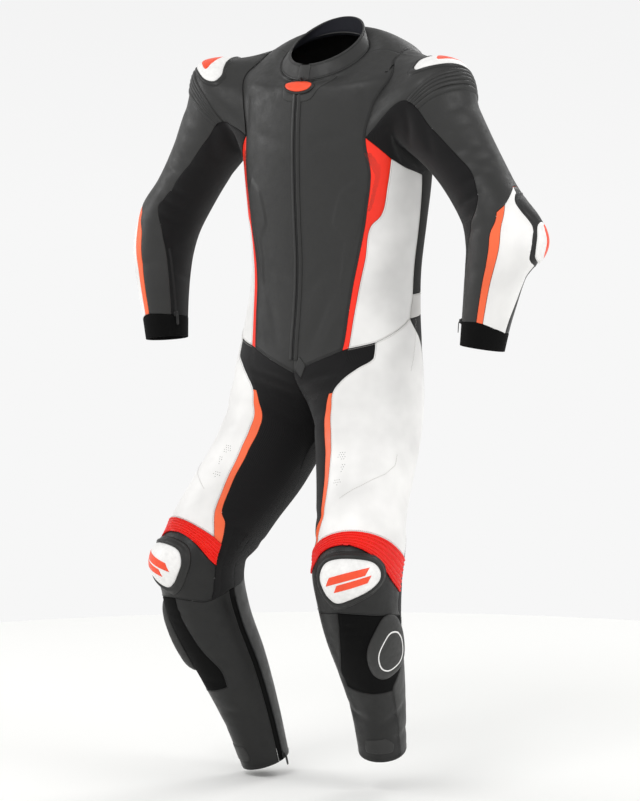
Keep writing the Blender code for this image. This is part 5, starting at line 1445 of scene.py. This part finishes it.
collar_rim = []
for side in (LEFT, RIGHT):
    around_neck = np.vstack([seam_line("body", side, (1.1, 0.0), (5, 0.0), -0.0014, 40),
                             seam_line("body", side, (14, 0.0), (18, 0.0), -0.0014, 40)])
    collar_rim.append(around_neck if side == LEFT else around_neck[::-1])
corded("collar_binding", [np.vstack([collar_rim[0], collar_rim[1][1:]])], 0.0021, black_hide)

# ---------------------------------------------------------------- zips at the ankles and cuffs
# A coil zip up the inside of each calf and of each forearm, closed, with a small black
# slider and its flat puller at the lower end. The slider of the front zip is here too.

puller = plastic("zip_puller_rubber", "#1a1a1a", 0.5)


def zip_slider(name, at, ahead, out, finish, size=(0.0045, 0.0085, 0.003)):
    """A slider's body: a rounded block with a bridge over it, and its flat puller."""
    ahead, out = ahead / np.linalg.norm(ahead), out / np.linalg.norm(out)
    across_way = np.cross(ahead, out)
    points, faces = [], []
    for wide, long, high, lift, along in ((1.0, 1.0, 1.0, 0.0, 0.0), (0.36, 0.72, 0.9, 0.95, 0.0),
                                          (0.62, 1.9, 0.35, 1.9, 1.0)):
        first = len(points)
        for level, shrink in ((0.0, 0.86), (0.25, 1.0), (0.75, 1.0), (1.0, 0.8)):
            for k in range(12):
                turn = 2 * math.pi * k / 12
                x = math.copysign(abs(math.cos(turn)) ** 0.6, math.cos(turn)) * size[0] * wide * shrink
                y = math.copysign(abs(math.sin(turn)) ** 0.6, math.sin(turn)) * size[1] * long * shrink / 1.6
                points.append(at + across_way * x + ahead * (y + along * size[1] * 1.3)
                              + out * size[2] * (lift + level * high))
        for ring in range(3):
            low = first + ring * 12
            faces += [(low + k, low + (k + 1) % 12, low + 12 + (k + 1) % 12, low + 12 + k) for k in range(12)]
        faces += [tuple(range(first, first + 12)), tuple(range(first + 36, first + 48))]
    return shaped(name, points, faces, finish)


COIL_PITCH = 0.0014


def limb_zip(name, kind, side, start, end, lift, count):
    """A coil zip between two lattice places of a limb, with a slider near the second."""
    line = seam_line(kind, side, start, end, lift, count)
    middles, _ = evenly(line, COIL_PITCH)
    _, outward = lattice(kind, side, np.linspace(start[0], end[0], len(middles)),
                         np.linspace(start[1], end[1], len(middles)))
    ways = np.cross(np.gradient(middles, axis=0), outward)
    ways /= np.linalg.norm(ways, axis=1, keepdims=True)
    toothed(name + "_teeth", middles, ways, outward, coil_plastic)
    ahead = middles[-1] - middles[-6]
    zip_slider(name + "_slider", middles[-4], ahead, outward[-4], puller)


for name, side in left_right("calf_zip"):
    limb_zip(name, "body", side, (0.0, R["KNEE_END"] + 0.6), (0.0, R["HEM"] - 0.15), 0.0004, 160)
for name, side in left_right("cuff_zip"):
    limb_zip(name, "sleeve", side, (5.5, S["ELBOW"] + 2.6), (6.0, S["CUFF"] + 0.1), 0.0008, 120)
throat = down_front(LEFT, 0.0, -0.006, 0.004, 6, 0.0016)
zip_slider("front_zip_slider", throat[0], throat[-1] - throat[0], np.array([0.0, -1.0, 0.25]),
           zip_metal)

# ---------------------------------------------------------------- printed and punched details
# Black dots are printed on the red strips beside the chest, in rows that get smaller outwards;
# on the white thighs, flat grey discs stand for small round air holes, painted shade inside them.


def discs(name, side, spots, finish, thick=0.00012):
    """Small round flat dots on the body: spots are (u, s, radius in metres)."""
    points, faces = [], []
    spots = np.asarray(spots, float)
    centres, normals = skin("body", spots[:, 0], spots[:, 1], side)
    centres = creased("body", side, centres, normals)
    for middle, normal, radius in zip(centres, normals, spots[:, 2]):
        one = np.cross(normal, [0.3, 0.1, 0.9])
        one /= np.linalg.norm(one)
        two = np.cross(normal, one)
        first = len(points)
        for high, share in ((-0.0004, 1.0), (thick, 1.0)):
            for k in range(8):
                turn = math.pi * k / 4
                sideways = one * math.cos(turn) + two * math.sin(turn)
                points.append(middle + normal * high + radius * share * sideways)
        faces += [(first + k, first + (k + 1) % 8, first + 8 + (k + 1) % 8, first + 8 + k) for k in range(8)]
        faces += [tuple(range(first + 8, first + 16)), tuple(range(first + 7, first - 1, -1))]
    return shaped(name, points, faces, finish, smooth=False)


def inside(outline, u, s):
    hit = False
    for (u0, s0), (u1, s1) in zip(outline, outline[1:] + outline[:1]):
        if (s0 > s) != (s1 > s) and u < (u1 - u0) * (s - s0) / (s1 - s0) + u0:
            hit = not hit
    return hit


def dotted(outline, step_u, step_s, size):
    """Staggered rows of spots inside an outline in (u, s)."""
    us, ss = [u for u, _ in outline], [s for _, s in outline]
    spots = []
    for row in range(int((max(ss) - min(ss)) / step_s) + 1):
        for n in range(int((max(us) - min(us)) / step_u) + 2):
            u, s = min(us) + (n + row % 2 / 2) * step_u, min(ss) + row * step_s
            if inside(outline, u, s):
                spots.append((u, s, size(u, s)))
    return spots


PRINT = ((0.232, 0.222), (0.256, 0.224), (0.292, 0.246), (0.292, 0.260), (0.272, 0.306), (0.264, 0.322),
         (0.254, 0.322), (0.274, 0.262), (0.246, 0.238))
AIR_HOLES = (((0.252, 0.784), (0.278, 0.781), (0.273, 0.803), (0.244, 0.797)),
             ((0.241, 0.839), (0.265, 0.845), (0.250, 0.856), (0.224, 0.846)),
             ((0.262, 0.812), (0.276, 0.808), (0.266, 0.832), (0.252, 0.832)))
print_ink, tree, shader = finish_of("black_screen_print", linear("#7a2418"), 0.5)
inky = node(tree, "ShaderNodeTexNoise", {"Vector": node(tree, "ShaderNodeTexCoord").outputs["Object"],
                                           "Scale": 900.0})
tree.links.new(node(tree, "ShaderNodeBump", {"Height": inky.outputs["Fac"], "Strength": 0.2,
                                             "Distance": 0.0001}).outputs["Normal"], shader.inputs["Normal"])
# painted shade: grey discs where the insides of the air holes lie in shade
hole_shade, tree, shader = finish_of("punched_hole_shade", linear("#8b8a88"), 0.9)
raw_edge = node(tree, "ShaderNodeTexNoise", {"Vector": node(tree, "ShaderNodeTexCoord").outputs["Object"],
                                               "Scale": 1200.0})
tree.links.new(node(tree, "ShaderNodeBump", {"Height": raw_edge.outputs["Fac"], "Strength": 0.3,
                                             "Distance": 0.0001}).outputs["Normal"], shader.inputs["Normal"])
for name, side in left_right("chest_print"):
    discs(name, side, dotted(PRINT, 0.0050, 0.0022, lambda u, s: 0.00105 - 0.010 * max(0.0, u - 0.24)),
          print_ink)
for name, side in left_right("thigh_holes"):
    discs(name, side,
          [spot for hole in AIR_HOLES for spot in dotted(hole, 0.0085, 0.0048, lambda u, s: 0.0008)],
          hole_shade)

# ---------------------------------------------------------------- small hide pieces
# A diamond of hide covers the zip's lower end, and a patch is sewn on at the left hem.

moulded("zip_end_tab", "body", LEFT, ((0.030, 0.582), (0.056, 0.601), (0.036, 0.626), (0.012, 0.610)),
        ((0, 1.8), (0.5, 1.8), (0.9, 1.7), (1.0, 1.0), (1.0, -0.4)), placket_hide,
        count=40, sharp=0.7)
for name, side in left_right("hem_patch"):
    moulded(name, "body", side, ((0.25, 1.327), (0.373, 1.322), (0.43, 1.337), (0.417, 1.352), (0.241, 1.352),
                                 (0.235, 1.340)),
            ((0, 1.0), (0.5, 1.0), (0.93, 1.0), (1.0, 0.5), (1.0, -0.4)), black_hide,
            count=60,
            sharp=0.7)


def over_skin(kind, side, corners, lift=0.0005, count=60):
    """A line over the skin through (u, s) corners, with its outward normals."""
    corners = np.asarray(corners, float)
    at = np.linspace(0, len(corners) - 1, count)
    places = np.stack([np.interp(at, np.arange(len(corners)), corners[:, k]) for k in (0, 1)], axis=1)
    _, normals = skin(kind, places[:, 0], places[:, 1], side)
    return on_skin(kind, side, places, lift), normals


THIGH_SEAM = ((0.261, 0.879), (0.337, 0.855), (0.413, 0.824), (0.447, 0.799), (0.449, 0.777))
HIP_ZIGZAG = tuple((0.535 - 0.060 * n / 22 + 0.006 * (n % 2), 0.515 + 0.0042 * n) for n in range(23))
for name, side in left_right("seam_lines"):
    sewn(name, [over_skin("body", side, THIGH_SEAM), over_skin("body", side, HIP_ZIGZAG, count=90)],
         grey_thread)
